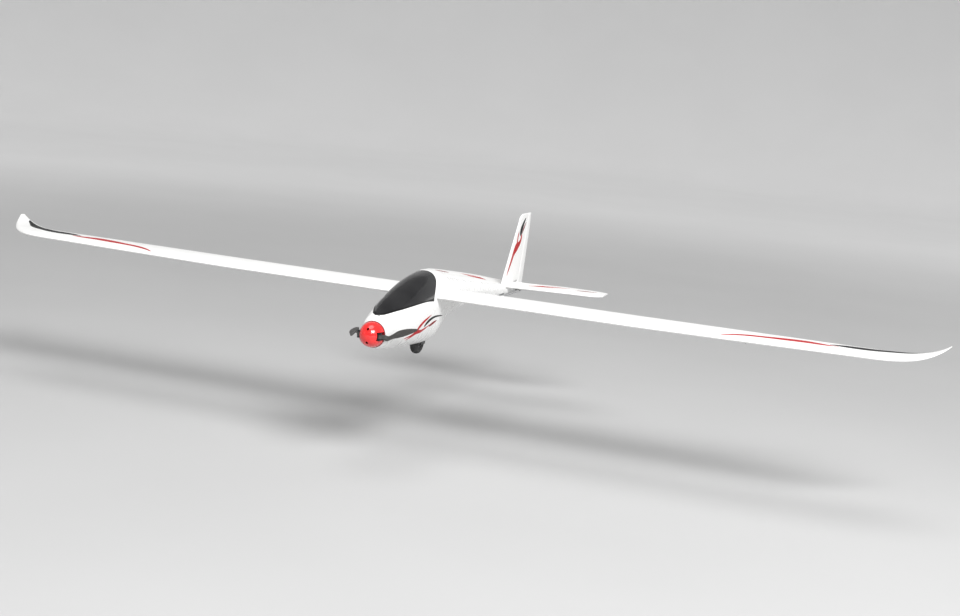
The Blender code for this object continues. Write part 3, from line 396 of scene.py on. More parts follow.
def foam_finish():
    """Moulded bead foam: faint beads about 3 mm across under a smooth white skin."""
    f = Finish("white_foam", (0.83, 0.83, 0.82), 0.42)
    beads = f.span(f.cells(0.0032), 0.0, 1.0, 0.0, 0.12)
    tone = f.span(f.noise(0.06, 3), 0.0, 1.0)
    seams = f.math("SUBTRACT", 1.0, beads)
    dirt = f.math("ADD", f.math("MULTIPLY", seams, 0.5), f.math("MULTIPLY", tone, 0.5))
    f.paint(f.tint(dirt, 0.05))
    f.gloss(f.span(f.noise(0.018, 4), 0.34, 0.52))
    return f.relief(f.math("ADD", beads, f.math("MULTIPLY", f.noise(0.0009, 2), 0.5)),
                    0.00003).mat


def hull_finish():
    """Gloss white moulding with a fine parting line down its middle and a light orange peel."""
    f = Finish("white_gloss_shell", (0.87, 0.87, 0.86), 0.3, coat=0.25, coat_roughness=0.15)
    side = f.math("ABSOLUTE", f.axis("X"))
    seam = f.span(side, 1.0, 0.0, 0.00015, 0.0005)
    haze = f.span(f.noise(0.12, 1), 0.0, 0.3)
    f.paint(f.tint(f.math("MAXIMUM", f.math("MULTIPLY", seam, 0.9), haze), 0.13))
    f.gloss(f.span(f.noise(0.03, 2), 0.24, 0.36))
    height = f.math("SUBTRACT", f.math("MULTIPLY", f.noise(0.0012, 1), 0.03), seam)
    return f.relief(height, 0.00002).mat


def film_finish(name, color, roughness=0.38):
    """Printed film: even ink with slight mottling and a few dull rubbed places."""
    f = Finish(name, color, roughness, specular=0.16)
    f.paint(f.tint(f.span(f.noise(0.01, 3), 0.0, 1.0), 0.15))
    f.gloss(f.span(f.noise(0.006, 4), roughness - 0.06, roughness + 0.14))
    return f.relief(f.noise(0.0016, 3), 0.00001).mat


def canopy_finish():
    """Smoked gloss plastic with faint wiping marks."""
    f = Finish("smoked_canopy", (0.012, 0.012, 0.013), 0.12, coat=0.1, coat_roughness=0.04,
               specular=0.32)
    f.paint(f.mix(f.span(f.noise(0.05, 3), 0.0, 1.0), (0.01, 0.01, 0.011),
                  (0.017, 0.017, 0.018)))
    wiped = f.noise(0.004, 4, stretch=(1.0, 0.15, 1.0))
    f.gloss(f.span(wiped, 0.07, 0.2))
    return f.relief(f.noise(0.02, 2), 0.00004).mat


def nylon_finish(name, color, roughness=0.45, grain=0.0007):
    """Injection-moulded nylon: fine spark texture, paler scuffs."""
    f = Finish(name, color, roughness)
    scuffs = f.span(f.noise(0.004, 5, stretch=(1.0, 0.3, 1.0)), 0.0, 1.0, 0.58, 0.72)
    pale = tuple(min(1.0, c * 1.6 + 0.015) for c in color)
    f.paint(f.mix(scuffs, f.tint(f.span(f.noise(0.012, 3), 0.0, 1.0), 0.2), pale))
    f.gloss(f.span(f.noise(0.003, 4), roughness - 0.1, roughness + 0.12))
    return f.relief(f.noise(grain, 2), 0.00003).mat


def spinner_finish():
    """Deep gloss red plastic with hair-fine turned marks about its axis."""
    f = Finish("red_gloss_spinner", (0.8, 0.022, 0.022), 0.18, coat=0.7, coat_roughness=0.06)
    f.paint(f.tint(f.span(f.noise(0.016, 3), 0.0, 1.0), 0.1))
    f.gloss(f.span(f.noise(0.0012, 3, stretch=(0.1, 1.0, 0.1)), 0.14, 0.26))
    return f.relief(f.noise(0.003, 2), 0.00002).mat


def metal_finish(name, color, roughness, stretch, size=0.0006):
    """Drawn or turned metal: fine lines along one direction, a little tarnish."""
    f = Finish(name, color, roughness, metallic=1.0)
    lines = f.noise(size, 3, stretch=stretch)
    f.paint(f.tint(f.span(f.noise(0.007, 4), 0.0, 1.0), 0.22))
    f.gloss(f.span(lines, roughness - 0.1, roughness + 0.14))
    return f.relief(lines, 0.00002).mat


def carbon_finish():
    """Pulled carbon tube: long fibres with a thin satin resin skin."""
    f = Finish("carbon_tube", (0.018, 0.018, 0.02), 0.35, coat=0.4, coat_roughness=0.15)
    fibres = f.noise(0.0007, 4, stretch=(0.03, 1.0, 1.0))
    f.paint(f.mix(f.span(fibres, 0.0, 1.0), (0.01, 0.01, 0.011), (0.05, 0.05, 0.054)))
    f.gloss(f.span(fibres, 0.28, 0.46))
    return f.relief(fibres, 0.00003).mat


def plywood_finish():
    """Birch ply: grain along the model and soft darker streaks."""
    f = Finish("birch_ply", (0.58, 0.42, 0.25), 0.6)
    grain = f.noise(0.0022, 6, stretch=(1.0, 0.08, 1.0))
    streak = f.noise(0.01, 3, stretch=(1.0, 0.12, 1.0))
    base = f.mix(f.span(streak, 0.0, 1.0), (0.62, 0.46, 0.28), (0.47, 0.32, 0.17))
    f.paint(f.mix(f.span(grain, 0.0, 0.55), base, (0.33, 0.2, 0.1)))
    f.gloss(f.span(grain, 0.5, 0.72))
    return f.relief(grain, 0.00008).mat


def rubber_finish():
    """Closed-cell foam rubber, dull dark grey with scuffed lighter patches."""
    f = Finish("foam_rubber", (0.04, 0.04, 0.041), 0.85, specular=0.3)
    pores = f.cells(0.0009)
    scuff = f.span(f.noise(0.008, 5), 0.0, 1.0, 0.45, 0.75)
    f.paint(f.mix(scuff, (0.034, 0.034, 0.035), (0.075, 0.074, 0.072)))
    f.gloss(f.span(f.noise(0.004, 3), 0.74, 0.95))
    return f.relief(f.span(pores, 0.0, 1.0, 0.0, 0.25), 0.0001).mat


def webbing_finish():
    """Woven nylon tape: ribs across the strap and a finer over-and-under."""
    f = Finish("black_webbing", (0.03, 0.03, 0.032), 0.8, specular=0.3)
    ribs = f.bands(0.0011, "Y", 1.0)
    across = f.math("ADD", f.bands(0.0009, "X", 1.0), f.bands(0.0009, "Z", 1.0))
    weave = f.math("MULTIPLY", ribs, across)
    f.paint(f.mix(f.span(weave, 0.0, 1.0, 0.2, 1.2), (0.018, 0.018, 0.02),
                  (0.062, 0.062, 0.066)))
    f.gloss(f.span(weave, 0.7, 0.9, 0.0, 1.0))
    return f.relief(weave, 0.00012).mat


def wrap_finish(name, color, wrinkle=0.006):
    """Heat-shrink wrap: glossy, lightly puckered."""
    f = Finish(name, color, 0.3, coat=0.3, coat_roughness=0.1)
    folds = f.noise(wrinkle, 4, stretch=(1.0, 0.45, 1.0))
    f.paint(f.tint(f.span(f.noise(0.014, 4), 0.0, 1.0), 0.25))
    f.gloss(f.span(folds, 0.22, 0.42))
    return f.relief(folds, 0.00025, coat=True).mat


def copper_finish():
    """Enamelled copper turns wound on the stator."""
    f = Finish("copper_windings", (0.6, 0.24, 0.09), 0.35, metallic=0.9)
    turns = f.bands(0.0007, "Y", 0.6)
    f.paint(f.mix(f.span(turns, 0.0, 1.0, 0.0, 1.0), (0.3, 0.1, 0.04), (0.7, 0.3, 0.12)))
    f.gloss(f.span(f.noise(0.002, 3), 0.28, 0.5))
    return f.relief(turns, 0.0002).mat


def floor_finish():
    """Pale seamless paper."""
    f = Finish("studio_paper", (0.46, 0.46, 0.46), 0.85, specular=0.15)
    reach = f.math("ADD", f.math("POWER", f.math("ABSOLUTE", f.axis("X")), 2.0),
                   f.math("POWER", f.math("ABSOLUTE", f.axis("Y")), 2.0))
    pale = f.span(f.noise(0.9, 2), 0.0, 0.04)
    f.paint(f.mix(f.math("ADD", f.span(reach, 0.0, 0.96, 3.0, 62.0), pale),
                  (0.46, 0.46, 0.46), (0.8, 0.8, 0.8)))
    return f.relief(f.noise(0.0015, 3), 0.00002).mat


FOAM = foam_finish()
HULL = hull_finish()
RED_FILM = film_finish("red_film", (0.46, 0.009, 0.012))
DARK_RED_FILM = film_finish("dark_red_film", (0.22, 0.008, 0.01))
BLACK_FILM = film_finish("black_film", (0.005, 0.005, 0.005), 0.42)
SMOKE = canopy_finish()
SEAL = film_finish("canopy_edge_band", (0.005, 0.005, 0.005), 0.42)
SPINNER_RED = spinner_finish()
BACKPLATE_RED = film_finish("dark_red_backplate", (0.2, 0.01, 0.012), 0.3)
BLADE_GREY = nylon_finish("blade_nylon", (0.046, 0.044, 0.041), 0.42)
BLACK_NYLON = nylon_finish("black_nylon", (0.02, 0.02, 0.021))
SERVO_CASE = nylon_finish("servo_case", (0.024, 0.026, 0.032), 0.38)
HUB_GREY = nylon_finish("hub_grey", (0.16, 0.16, 0.165), 0.42)
WIRE = metal_finish("drawn_steel", (0.56, 0.57, 0.59), 0.3, (1.0, 0.05, 1.0))
CROSS_WIRE = metal_finish("drawn_steel_across", (0.56, 0.57, 0.59), 0.3, (0.05, 1.0, 1.0))
ALLOY = metal_finish("turned_alloy", (0.66, 0.67, 0.69), 0.34, (0.15, 1.0, 0.15))
BELL_BLACK = metal_finish("black_anodised", (0.055, 0.055, 0.06), 0.3, (0.1, 1.0, 0.1))
GOLD = metal_finish("gold_pins", (0.85, 0.62, 0.22), 0.28, (1.0, 1.0, 0.1))
COPPER = copper_finish()
CARBON = carbon_finish()
PLYWOOD = plywood_finish()
RUBBER = rubber_finish()
WEBBING = webbing_finish()
BATTERY_WRAP = wrap_finish("battery_wrap", (0.03, 0.034, 0.05))
CONTROLLER_WRAP = wrap_finish("controller_wrap", (0.02, 0.06, 0.21), 0.004)
RECEIVER_CASE = nylon_finish("receiver_case", (0.03, 0.032, 0.036), 0.34)
PAPER = floor_finish()


# ---- the body
# station, half width, top, bottom and height of the widest line of the body's key sections
BODY_SECTIONS = (
    (0.0045, 0.0298, 0.0298, -0.0298, 0.0),
    (0.02, 0.0333, 0.041, -0.034, 0.003),
    (0.05, 0.037, 0.0525, -0.038, 0.009),
    (0.1, 0.0422, 0.0712, -0.0435, 0.018),
    (0.17, 0.0472, 0.0915, -0.049, 0.028),
    (0.24, 0.0497, 0.1065, -0.0535, 0.036),
    (0.3, 0.05, 0.1132, -0.056, 0.04),
    (0.335, 0.0493, 0.1132, -0.0525, 0.042),
    (0.372, 0.0475, 0.108, -0.0225, 0.043),
    (0.43, 0.043, 0.092, -0.0125, 0.042),
    (0.5, 0.0355, 0.0805, -0.005, 0.038),
    (0.58, 0.0285, 0.068, 0.0, 0.033),
    (0.7, 0.0225, 0.0515, -0.002, 0.024),
    (0.85, 0.0175, 0.0325, -0.0105, 0.01),
    (1.0, 0.0145, 0.015, -0.0165, -0.001),
    (1.088, 0.0125, 0.01, -0.0195, -0.005),
)
BODY_SQUARENESS = 2.2
SHELL = 0.0018


def body_at(station):
    """The body's section values at a station, by a smooth cubic through the key sections."""
    keys = BODY_SECTIONS
    last = len(keys) - 2
    i = max(0, min(last, next((n for n in range(last + 1) if keys[n + 1][0] >= station), last)))
    a, b = keys[i], keys[i + 1]
    width = b[0] - a[0]
    t = (station - a[0]) / width

    def slope(n, column):
        first, second = max(n - 1, 0), min(n + 1, len(keys) - 1)
        return (keys[second][column] - keys[first][column]) / (keys[second][0] - keys[first][0])

    values = []
    for column in range(1, 5):
        p, q = a[column], b[column]
        mp, mq = slope(i, column) * width, slope(i + 1, column) * width
        values.append(p * (2 * t**3 - 3 * t**2 + 1) + mp * (t**3 - 2 * t**2 + t)
                      + q * (3 * t**2 - 2 * t**3) + mq * (t**3 - t**2))
    return values


def body_point(station, angle, inset=0.0):
    half_width, top, bottom, widest = body_at(station)
    power = 2 / BODY_SQUARENESS
    c, s = math.cos(angle), math.sin(angle)
    depth = (top - widest if s >= 0 else widest - bottom) - inset
    return ((half_width - inset) * math.copysign(abs(c) ** power, c), station,
            widest + depth * math.copysign(abs(s) ** power, s))


def body_ring(station, inset=0.0, sides=96):
    return [body_point(station, 2 * math.pi * i / sides, inset) for i in range(sides)]


def body_angle(station, height):
    """The section angle at which the port side of the body reaches a height."""
    _, top, bottom, widest = body_at(station)
    depth = top - widest if height >= widest else widest - bottom
    rise = (height - widest) / depth
    sine = math.copysign(min(1.0, abs(rise)) ** (BODY_SQUARENESS / 2), rise)
    return math.asin(sine)


def spread(start, stop, step):
    count = max(1, round((stop - start) / step))
    return [start + (stop - start) * i / count for i in range(count + 1)]


BODY_STATIONS = spread(0.0045, 0.02, 0.0022) + spread(0.024, 0.44, 0.005) \
    + spread(0.45, 1.085, 0.012)
INSIDE_STATIONS = spread(0.012, 0.44, 0.008) + spread(0.452, 0.948, 0.025)

# the canopy's edge in the side view: along its sill, up its raked rear edge, over the top
CANOPY_EDGE = ((0.0212, 0.04), (0.0222, 0.0411), (0.029, 0.0421), (0.0387, 0.0437),
               (0.062, 0.0468), (0.08, 0.0485), (0.105, 0.0507), (0.135, 0.0527),
               (0.166, 0.0544), (0.194, 0.0554), (0.215, 0.0555), (0.24, 0.0541),
               (0.2488, 0.0531), (0.252, 0.0546), (0.2545, 0.06), (0.2621, 0.0699),
               (0.2731, 0.0798), (0.2891, 0.0918), (0.3, 0.1005), (0.305, 0.106),
               (0.3078, 0.11), (0.309, 0.1125), (0.3096, 0.125))
CANOPY_CEILING = 0.13


def offset_path(path, distance):
    """Move a side-view path sideways, to the right of its direction of travel."""
    out = []
    for i, (s, h) in enumerate(path):
        a, b = path[max(i - 1, 0)], path[min(i + 1, len(path) - 1)]
        run = math.hypot(b[0] - a[0], b[1] - a[1])
        out.append((s + (b[1] - a[1]) / run * distance, h - (b[0] - a[0]) / run * distance))
    return out


def canopy_mask(grow):
    edge = offset_path(smooth_path(CANOPY_EDGE, 5), grow)
    outline = edge + [(edge[-1][0], CANOPY_CEILING), (edge[0][0] - grow, CANOPY_CEILING)]
    return loft([[(x, s, h) for s, h in outline] for x in (-0.08, 0.08)])


def drilled(x_range, station, height, radius):
    return add_cylinder(bmesh.new(), (x_range[0], station, height), (x_range[1], station, height),
                        radius)


def make_body():
    hull = plain_object("hull", loft([body_ring(s) for s in BODY_STATIONS]))
    fillet = []
    for i in range(9):
        t = i / 8
        x = 0.033 + (WING_ROOT - 0.0004 - 0.033) * t
        fillet.append((x, 0.0012 + 0.006 * (1 - t) ** 1.6))
    rings = [(-x, grow) for x, grow in reversed(fillet)] + fillet
    fairing = loft([[(x, s, h) for s, h in wing_section(WING_ROOT, grow, 26)]
                    for x, grow in rings])
    subtract(hull, fairing, operation="UNION")
    wheel_room = bmesh.new()
    add_box(wheel_room, (-0.0158, 0.2665, -0.08), (0.0158, 0.3335, -0.03), 0.004, 4)
    subtract(hull,
             loft([body_ring(s, SHELL, 64) for s in INSIDE_STATIONS]),
             canopy_mask(GAP / 2),
             add_cylinder(bmesh.new(), (0, 0.0, 0), (0, 0.02, 0), 0.0125, 48),
             wheel_room,
             drilled((-0.08, 0.08), JOINER_STATION, JOINER_HEIGHT, JOINER_RADIUS + GAP),
             drilled((-0.08, 0.08), PIN_STATION, PIN_HEIGHT, PIN_RADIUS + GAP),
             add_box(bmesh.new(), (-0.05, 0.95, TAIL_SEAT), (0.05, 1.1, 0.08)),
             add_box(bmesh.new(), (-0.05, 1.044, -0.0095), (0.05, 1.1, 0.08)),
             add_box(bmesh.new(), (0.005, 0.87, -0.0127), (0.03, 0.945, -0.0012), 0.0015, 3),
             tail_screw_bore())
    finish_object(hull, HULL, "airframe", ["fuselage_shell"])


def make_canopy():
    stations = [s for s in BODY_STATIONS if s < 0.336]
    inner = [s for s in INSIDE_STATIONS if s < 0.336]
    canopy = plain_object("canopy_shell", loft([body_ring(s) for s in stations]))
    subtract(canopy, loft([body_ring(s, SHELL, 64) for s in inner]))
    subtract(canopy, canopy_mask(-GAP / 2), operation="INTERSECT")
    finish_object(canopy, SMOKE, "canopy", ["canopy"])
    make_edge_band()


def make_edge_band():
    """The black band that hides the canopy's seat, right round its edge."""
    half = 0.0014
    edge = offset_path(smooth_path(CANOPY_EDGE, 5), -GAP / 2 - half - 0.0001)
    edge = [(s, h) for s, h in edge if h < body_at(s)[1] - 0.0001]
    port = [(s, body_angle(s, h)) for s, h in edge]
    last_station, last_angle = port[-1]
    crown = [(last_station, last_angle + (math.pi / 2 - last_angle) * i / 6)
             for i in range(1, 7)]
    first_station, first_angle = port[0]
    front = [(first_station, math.pi / 2 + (first_angle - math.pi / 2) * i / 6)
             for i in range(6)]
    side = front + port + crown
    path = side + [(s, math.pi - a) for s, a in reversed(side[:-1])]
    points = [Vector(body_point(s, a)) for s, a in path]
    bm = bmesh.new()
    top, low = [], []
    for i, (s, a) in enumerate(path):
        run = (points[min(i + 1, len(path) - 1)] - points[max(i - 1, 0)]).normalized()
        along = Vector(body_point(s + 0.001, a)) - Vector(body_point(s - 0.001, a))
        around = Vector(body_point(s, a + 0.01)) - Vector(body_point(s, a - 0.01))
        normal = around.cross(along).normalized()
        if normal.dot(points[i] - Vector((0, s, 0.03))) < 0:
            normal.negate()
        across = normal.cross(run)
        for rows, lift in ((top, FILM_LIFT), (low, -FILM_SINK)):
            rows.append([bm.verts.new(points[i] + across * half * k + normal * lift)
                         for k in (-1, 0, 1)])
    close_film(bm, top, low)
    add_piece("canopy_edge_band", bm, SEAL, "canopy")


def hull_place(side):
    def place(station, height, lift):
        half_width, top, bottom, widest = body_at(station)
        depth = top - widest if height >= widest else widest - bottom
        share = min(1.0, abs(height - widest) / depth)
        x = half_width * (1 - share ** BODY_SQUARENESS) ** (1 / BODY_SQUARENESS)
        return side * (x + lift), station, height
    return place


SIDE_STRIPES = (
    ("red_upper", RED_FILM, (
        (0.105, -0.0185, 0.0006), (0.1366, -0.0163, 0.0022), (0.1554, -0.012, 0.0032),
        (0.168, -0.006, 0.0044), (0.179, 0.002, 0.0048), (0.1984, 0.0108, 0.0038),
        (0.2213, 0.017, 0.0024), (0.242, 0.0225, 0.0005))),
    ("red_lower", RED_FILM, (
        (0.1212, -0.0241, 0.0005), (0.1398, -0.02, 0.0018), (0.157, -0.015, 0.0034),
        (0.1687, -0.011, 0.005), (0.185, -0.011, 0.0042), (0.1967, -0.011, 0.0036),
        (0.2181, -0.007, 0.0024), (0.2356, -0.003, 0.0012), (0.248, 0.0, 0.0004))),
    ("black", BLACK_FILM, (
        (0.206, -0.0015, 0.0004), (0.212, 0.0012, 0.0034), (0.2258, 0.0076, 0.0042),
        (0.2487, 0.0133, 0.0032), (0.276, 0.015, 0.0022), (0.3066, 0.013, 0.0014),
        (0.325, 0.011, 0.0004))),
    ("dark_red", DARK_RED_FILM, (
        (0.24, -0.005, 0.0006), (0.25, -0.0028, 0.003), (0.264, 0.0002, 0.0034),
        (0.278, 0.0026, 0.002), (0.288, 0.004, 0.0005))),
)


def make_side_stripes():
    for side, label in SIDES:
        for layer, (name, finish, path) in enumerate(SIDE_STRIPES):
            ribbon("side_stripe_%s_%s" % (name, label), path, hull_place(side), finish,
                   "airframe", layer=layer)


# ---- wing
def wing_front(x):
    sweep = OUTER_SWEEP * min(1.0, max(0.0, x - WING_BREAK) / 0.5) ** 1.5
    if x <= WING_TIP_START:
        return WING_LE + sweep
    u = min(1.0, (x - WING_TIP_START) / (HALF_SPAN - WING_TIP_START))
    return WING_LE + OUTER_SWEEP + TIP_RAKE * u**2.9


def wing_back(x):
    inner = WING_LE + WING_CHORD - 0.012 * max(0.0, min(1.0, (x - WING_BREAK) / 0.5))
    u = max(0.0, (x - WING_TIP_START) / (HALF_SPAN - WING_TIP_START))
    return inner + 0.024 * u * u


def wing_lift(x):
    rise = OUTER_SLOPE * max(0.0, x - WING_BREAK)
    u = max(0.0, (x - WING_TIP_START) / (HALF_SPAN - WING_TIP_START))
    return WING_HEIGHT + rise + TIP_RISE * u**5


def foil_half_thickness(c):
    shape = (0.2969 * math.sqrt(c) - 0.126 * c - 0.3516 * c**2 + 0.2843 * c**3 - 0.1015 * c**4)
    return 5 * WING_THICKNESS * shape


def wing_point(x, station, side, grow=0.0, thin=1.0):
    """Height of the wing's upper (side 1) or lower (side -1) surface at a station."""
    front, back = wing_front(x) - grow, wing_back(x) + grow
    chord = back - front
    c = min(1.0, max(0.0, (station - front) / chord))
    camber = 4 * WING_CAMBER * c * (1 - c) * chord
    half = foil_half_thickness(c) * chord + TRAILING_HALF * c + grow * min(1.0, 20 * c)
    tilt = (station - WING_LE) * math.tan(WING_INCIDENCE)
    return wing_lift(x) + camber - tilt + side * half * thin


def wing_section(x, grow=0.0, steps=40, thin=1.0):
    front, back = wing_front(x) - grow, wing_back(x) + grow
    stations = [front + (back - front) * (1 - math.cos(math.pi * i / steps)) / 2
                for i in range(steps + 1)]
    upper = [(s, wing_point(x, s, 1, grow, thin)) for s in reversed(stations)]
    lower = [(s, wing_point(x, s, -1, grow, thin)) for s in stations[1:]]
    return upper + lower


JOINER_HEIGHT = (wing_point(WING_ROOT, JOINER_STATION, 1)
                 + wing_point(WING_ROOT, JOINER_STATION, -1)) / 2
PIN_HEIGHT = (wing_point(WING_ROOT, PIN_STATION, 1)
              + wing_point(WING_ROOT, PIN_STATION, -1)) / 2


def hinge_height(x):
    return (wing_point(x, WING_HINGE, 1) + wing_point(x, WING_HINGE, -1)) / 2


def hinge_radius(x):
    return (wing_point(x, WING_HINGE, 1) - wing_point(x, WING_HINGE, -1)) / 2


def surface_section(x, shrink=0.0):
    """Section of a flap or aileron: a round nose about the hinge line, then the foil's tail."""
    radius, height = hinge_radius(x) - shrink, hinge_height(x)
    nose = [(WING_HINGE - radius * math.cos(a), height + radius * math.sin(a))
            for a in [math.radians(-90 + 9 * i) for i in range(21)]]
    back = wing_back(x) - shrink
    tail = [WING_HINGE + (back - WING_HINGE) * t for t in (0.12, 0.25, 0.4, 0.55, 0.7, 0.85, 1.0)]
    upper = [(s, max(wing_point(x, s, 1) - shrink, wing_point(x, s, -1) + 0.0001))
             for s in tail]
    lower = [(s, min(wing_point(x, s, -1) + shrink, wing_point(x, s, 1) - 0.0002))
             for s in reversed(tail)]
    return nose + upper + lower


def between(side, low, high):
    return sorted((side * low, side * high))


def servo_floor(x):
    return wing_point(x, SERVO_STATION + SERVO_LENGTH / 2, -1) + 0.0006


def surface_bay(side, ends):
    rings = []
    for x in (ends[0], ends[1]):
        front = WING_HINGE - hinge_radius(x) - COVE_GAP
        rings.append([(side * x, s, h) for s, h in
                      ((front, 0.02), (0.56, 0.02), (0.56, 0.12), (front, 0.12))])
    return loft(rings)


WING_STATIONS = ([WING_ROOT] + spread(0.07, 0.5, 0.03) + spread(0.52, 1.0, 0.02)
                 + spread(1.008, 1.184, 0.008) + [1.188, 1.192, 1.1955, 1.198, 1.1992])


def make_wing(side, label):
    rings = [[(side * x, s, h) for s, h in wing_section(x)] for x in WING_STATIONS]
    rings.append([(side * HALF_SPAN, s, h) for s, h in wing_section(HALF_SPAN, thin=0.45)])
    panel = plain_object("wing_skin_" + label, loft(rings))
    tools = [surface_bay(side, FLAP_ENDS), surface_bay(side, AILERON_ENDS),
             drilled((side * 0.04, side * 0.352), JOINER_STATION, JOINER_HEIGHT,
                     JOINER_RADIUS + GAP),
             drilled((side * 0.04, side * 0.0765), PIN_STATION, PIN_HEIGHT, PIN_RADIUS + GAP)]
    for x in SERVO_SPANS.values():
        floor = servo_floor(x)
        low_x, high_x = between(side, x - SERVO_HALF_SPAN - 0.0004, x + SERVO_HALF_SPAN + 0.0004)
        tools.append(add_box(bmesh.new(), (low_x, SERVO_STATION - 0.0004, floor - 0.02),
                             (high_x, SERVO_STATION + SERVO_LENGTH + 0.0004,
                              floor + SERVO_THICKNESS + 0.0004)))
        low_x, high_x = between(side, x + SERVO_HALF_SPAN, x + 0.017)
        middle = SERVO_STATION + ARM_FORWARD
        tools.append(add_box(bmesh.new(), (low_x, middle - 0.0085, floor - 0.02),
                             (high_x, middle + 0.0085, floor + SERVO_THICKNESS)))
    subtract(panel, *tools)
    finish_object(panel, FOAM, "airframe", ["wing_panel_" + label])
    for kind, ends in (("flap", FLAP_ENDS), ("aileron", AILERON_ENDS)):
        make_wing_surface(side, label, kind, ends)
        make_wing_servo(side, label, kind, SERVO_SPANS[kind])
    make_wing_stripes(side, label)


def make_wing_surface(side, label, kind, ends):
    low, high = ends[0] + SURFACE_END_GAP, ends[1] - SURFACE_END_GAP
    rings = [(low, 0.0005), (low + 0.0004, 0.0001)]
    rings += [(x, 0.0) for x in spread(low + 0.001, high - 0.001, 0.025)]
    rings += [(high - 0.0004, 0.0001), (high, 0.0005)]
    bm = loft([[(side * x, s, h) for s, h in surface_section(x, shrink)] for x, shrink in rings])
    add_piece("%s_skin_%s" % (kind, label), bm, FOAM, "%s_%s" % (kind, label),
              ["%s_%s" % (kind, label)])


def make_wing_servo(side, label, kind, x):
    """Servo case with its lid seam, screws and output boss, lying in the lower surface."""
    name = "%s_servo_%s" % (kind, label)
    floor = servo_floor(x)
    front, back = SERVO_STATION, SERVO_STATION + SERVO_LENGTH
    top = floor + SERVO_THICKNESS
    edges = ((x - 0.012, x - 0.0072), (x - 0.007, x + 0.0052), (x + 0.0054, x + 0.0108))
    bm = bmesh.new()
    for low, high in edges:
        low_x, high_x = between(side, low, high)
        add_box(bm, (low_x, front, floor), (high_x, back, top), 0.0005, 2)
    middle = SERVO_STATION + ARM_FORWARD
    add_cylinder(bm, (side * (x + 0.0104), middle, (floor + top) / 2),
                 (side * (x + 0.0119), middle, (floor + top) / 2), 0.004, 32)
    for s in (front + 0.0014, back - 0.0014):
        for h in (floor + 0.0014, top - 0.0014):
            add_cylinder(bm, (side * (x - 0.0121), s, h), (side * (x - 0.0115), s, h), 0.0008, 12)
    add_piece(name + "_case", bm, SERVO_CASE, "airframe", [name])


WING_STRIPES = (
    ("red", RED_FILM, (
        (0.712, 0.286, 0.001), (0.735, 0.299, 0.004), (0.77, 0.312, 0.0065),
        (0.81, 0.32, 0.008), (0.85, 0.328, 0.012), (0.89, 0.334, 0.013),
        (0.915, 0.332, 0.01), (0.94, 0.33, 0.006), (0.965, 0.334, 0.001))),
    ("black", BLACK_FILM, (
        (0.945, 0.344, 0.001), (0.965, 0.347, 0.01), (0.985, 0.351, 0.016),
        (1.01, 0.354, 0.019), (1.035, 0.357, 0.018), (1.06, 0.368, 0.017),
        (1.085, 0.383, 0.018), (1.11, 0.402, 0.018), (1.135, 0.428, 0.014),
        (1.16, 0.45, 0.008), (1.175, 0.465, 0.001))),
)


def make_wing_stripes(side, label):
    def place(x, station, lift):
        return side * x, station, wing_point(x, station, 1) + lift

    for layer, (name, finish, path) in enumerate(WING_STRIPES):
        ribbon("wing_stripe_%s_%s" % (name, label), path, place, finish, "airframe",
               across=12, per=8, layer=layer)


# ---- tail
def tail_front(x):
    base = 0.952 + 0.2 * min(x, TAIL_TIP_START)
    u = max(0.0, (x - TAIL_TIP_START) / (TAIL_HALF_SPAN - TAIL_TIP_START))
    return base + 0.04 * (1 - math.sqrt(1 - 0.98 * u * u))


def tail_back(x):
    flare = max(0.0, min(1.0, (x - 0.02) / 0.14))
    u = max(0.0, (x - TAIL_TIP_START) / (TAIL_HALF_SPAN - TAIL_TIP_START))
    return 1.082 + 0.036 * flare * flare * (3 - 2 * flare) - 0.016 * u * u


def tail_half(x):
    return TAIL_THICKNESS / 2 * (1 - 0.3 * x / TAIL_HALF_SPAN)


def plank_section(front, back, half):
    """A plank with a half-round nose of 3:1 and a square back with its corners eased."""
    depth = min(3 * half, (back - front) * 0.6)
    angles = [math.radians(90 - 10 * i) for i in range(19)]
    nose = [(front + depth * (1 - math.cos(a)), half * math.sin(a)) for a in angles]
    ease = 0.0004
    return ([(back, half - ease), (back - ease, half)] + nose
            + [(back - ease, -half), (back, -half + ease)])


def hinged_section(hinge, back, half):
    """A round nose about its hinge and a wedge behind it, as (station, offset)."""
    angles = [math.radians(90 - 10 * i) for i in range(19)]
    nose = [(hinge - half * math.cos(a), half * math.sin(a)) for a in angles]
    tip = [(back - 0.0003, TRAILING_HALF), (back, TRAILING_HALF * 0.5)]
    return tip[::-1] + nose + [(s, -x) for s, x in tip]


def rudder_hinge(height):
    return RUDDER_HINGE + RUDDER_LEAN * height


def rudder_half(height):
    return 0.0043 - 0.0014 * max(0.0, height) / FIN_TOP


def rudder_back(height):
    station, kink = RUDDER_KINK
    if height < kink:
        return station - 0.5 * (kink - height)
    return station + (RUDDER_END - station) * min(1.0, (height - kink) / 0.165)


def fin_front(height):
    straight = 0.953 + 0.673 * (min(height, FIN_TIP_START) - 0.023)
    u = max(0.0, (height - FIN_TIP_START) / (FIN_TOP - FIN_TIP_START))
    return straight + 0.045 * (1 - math.sqrt(1 - 0.96 * u * u))


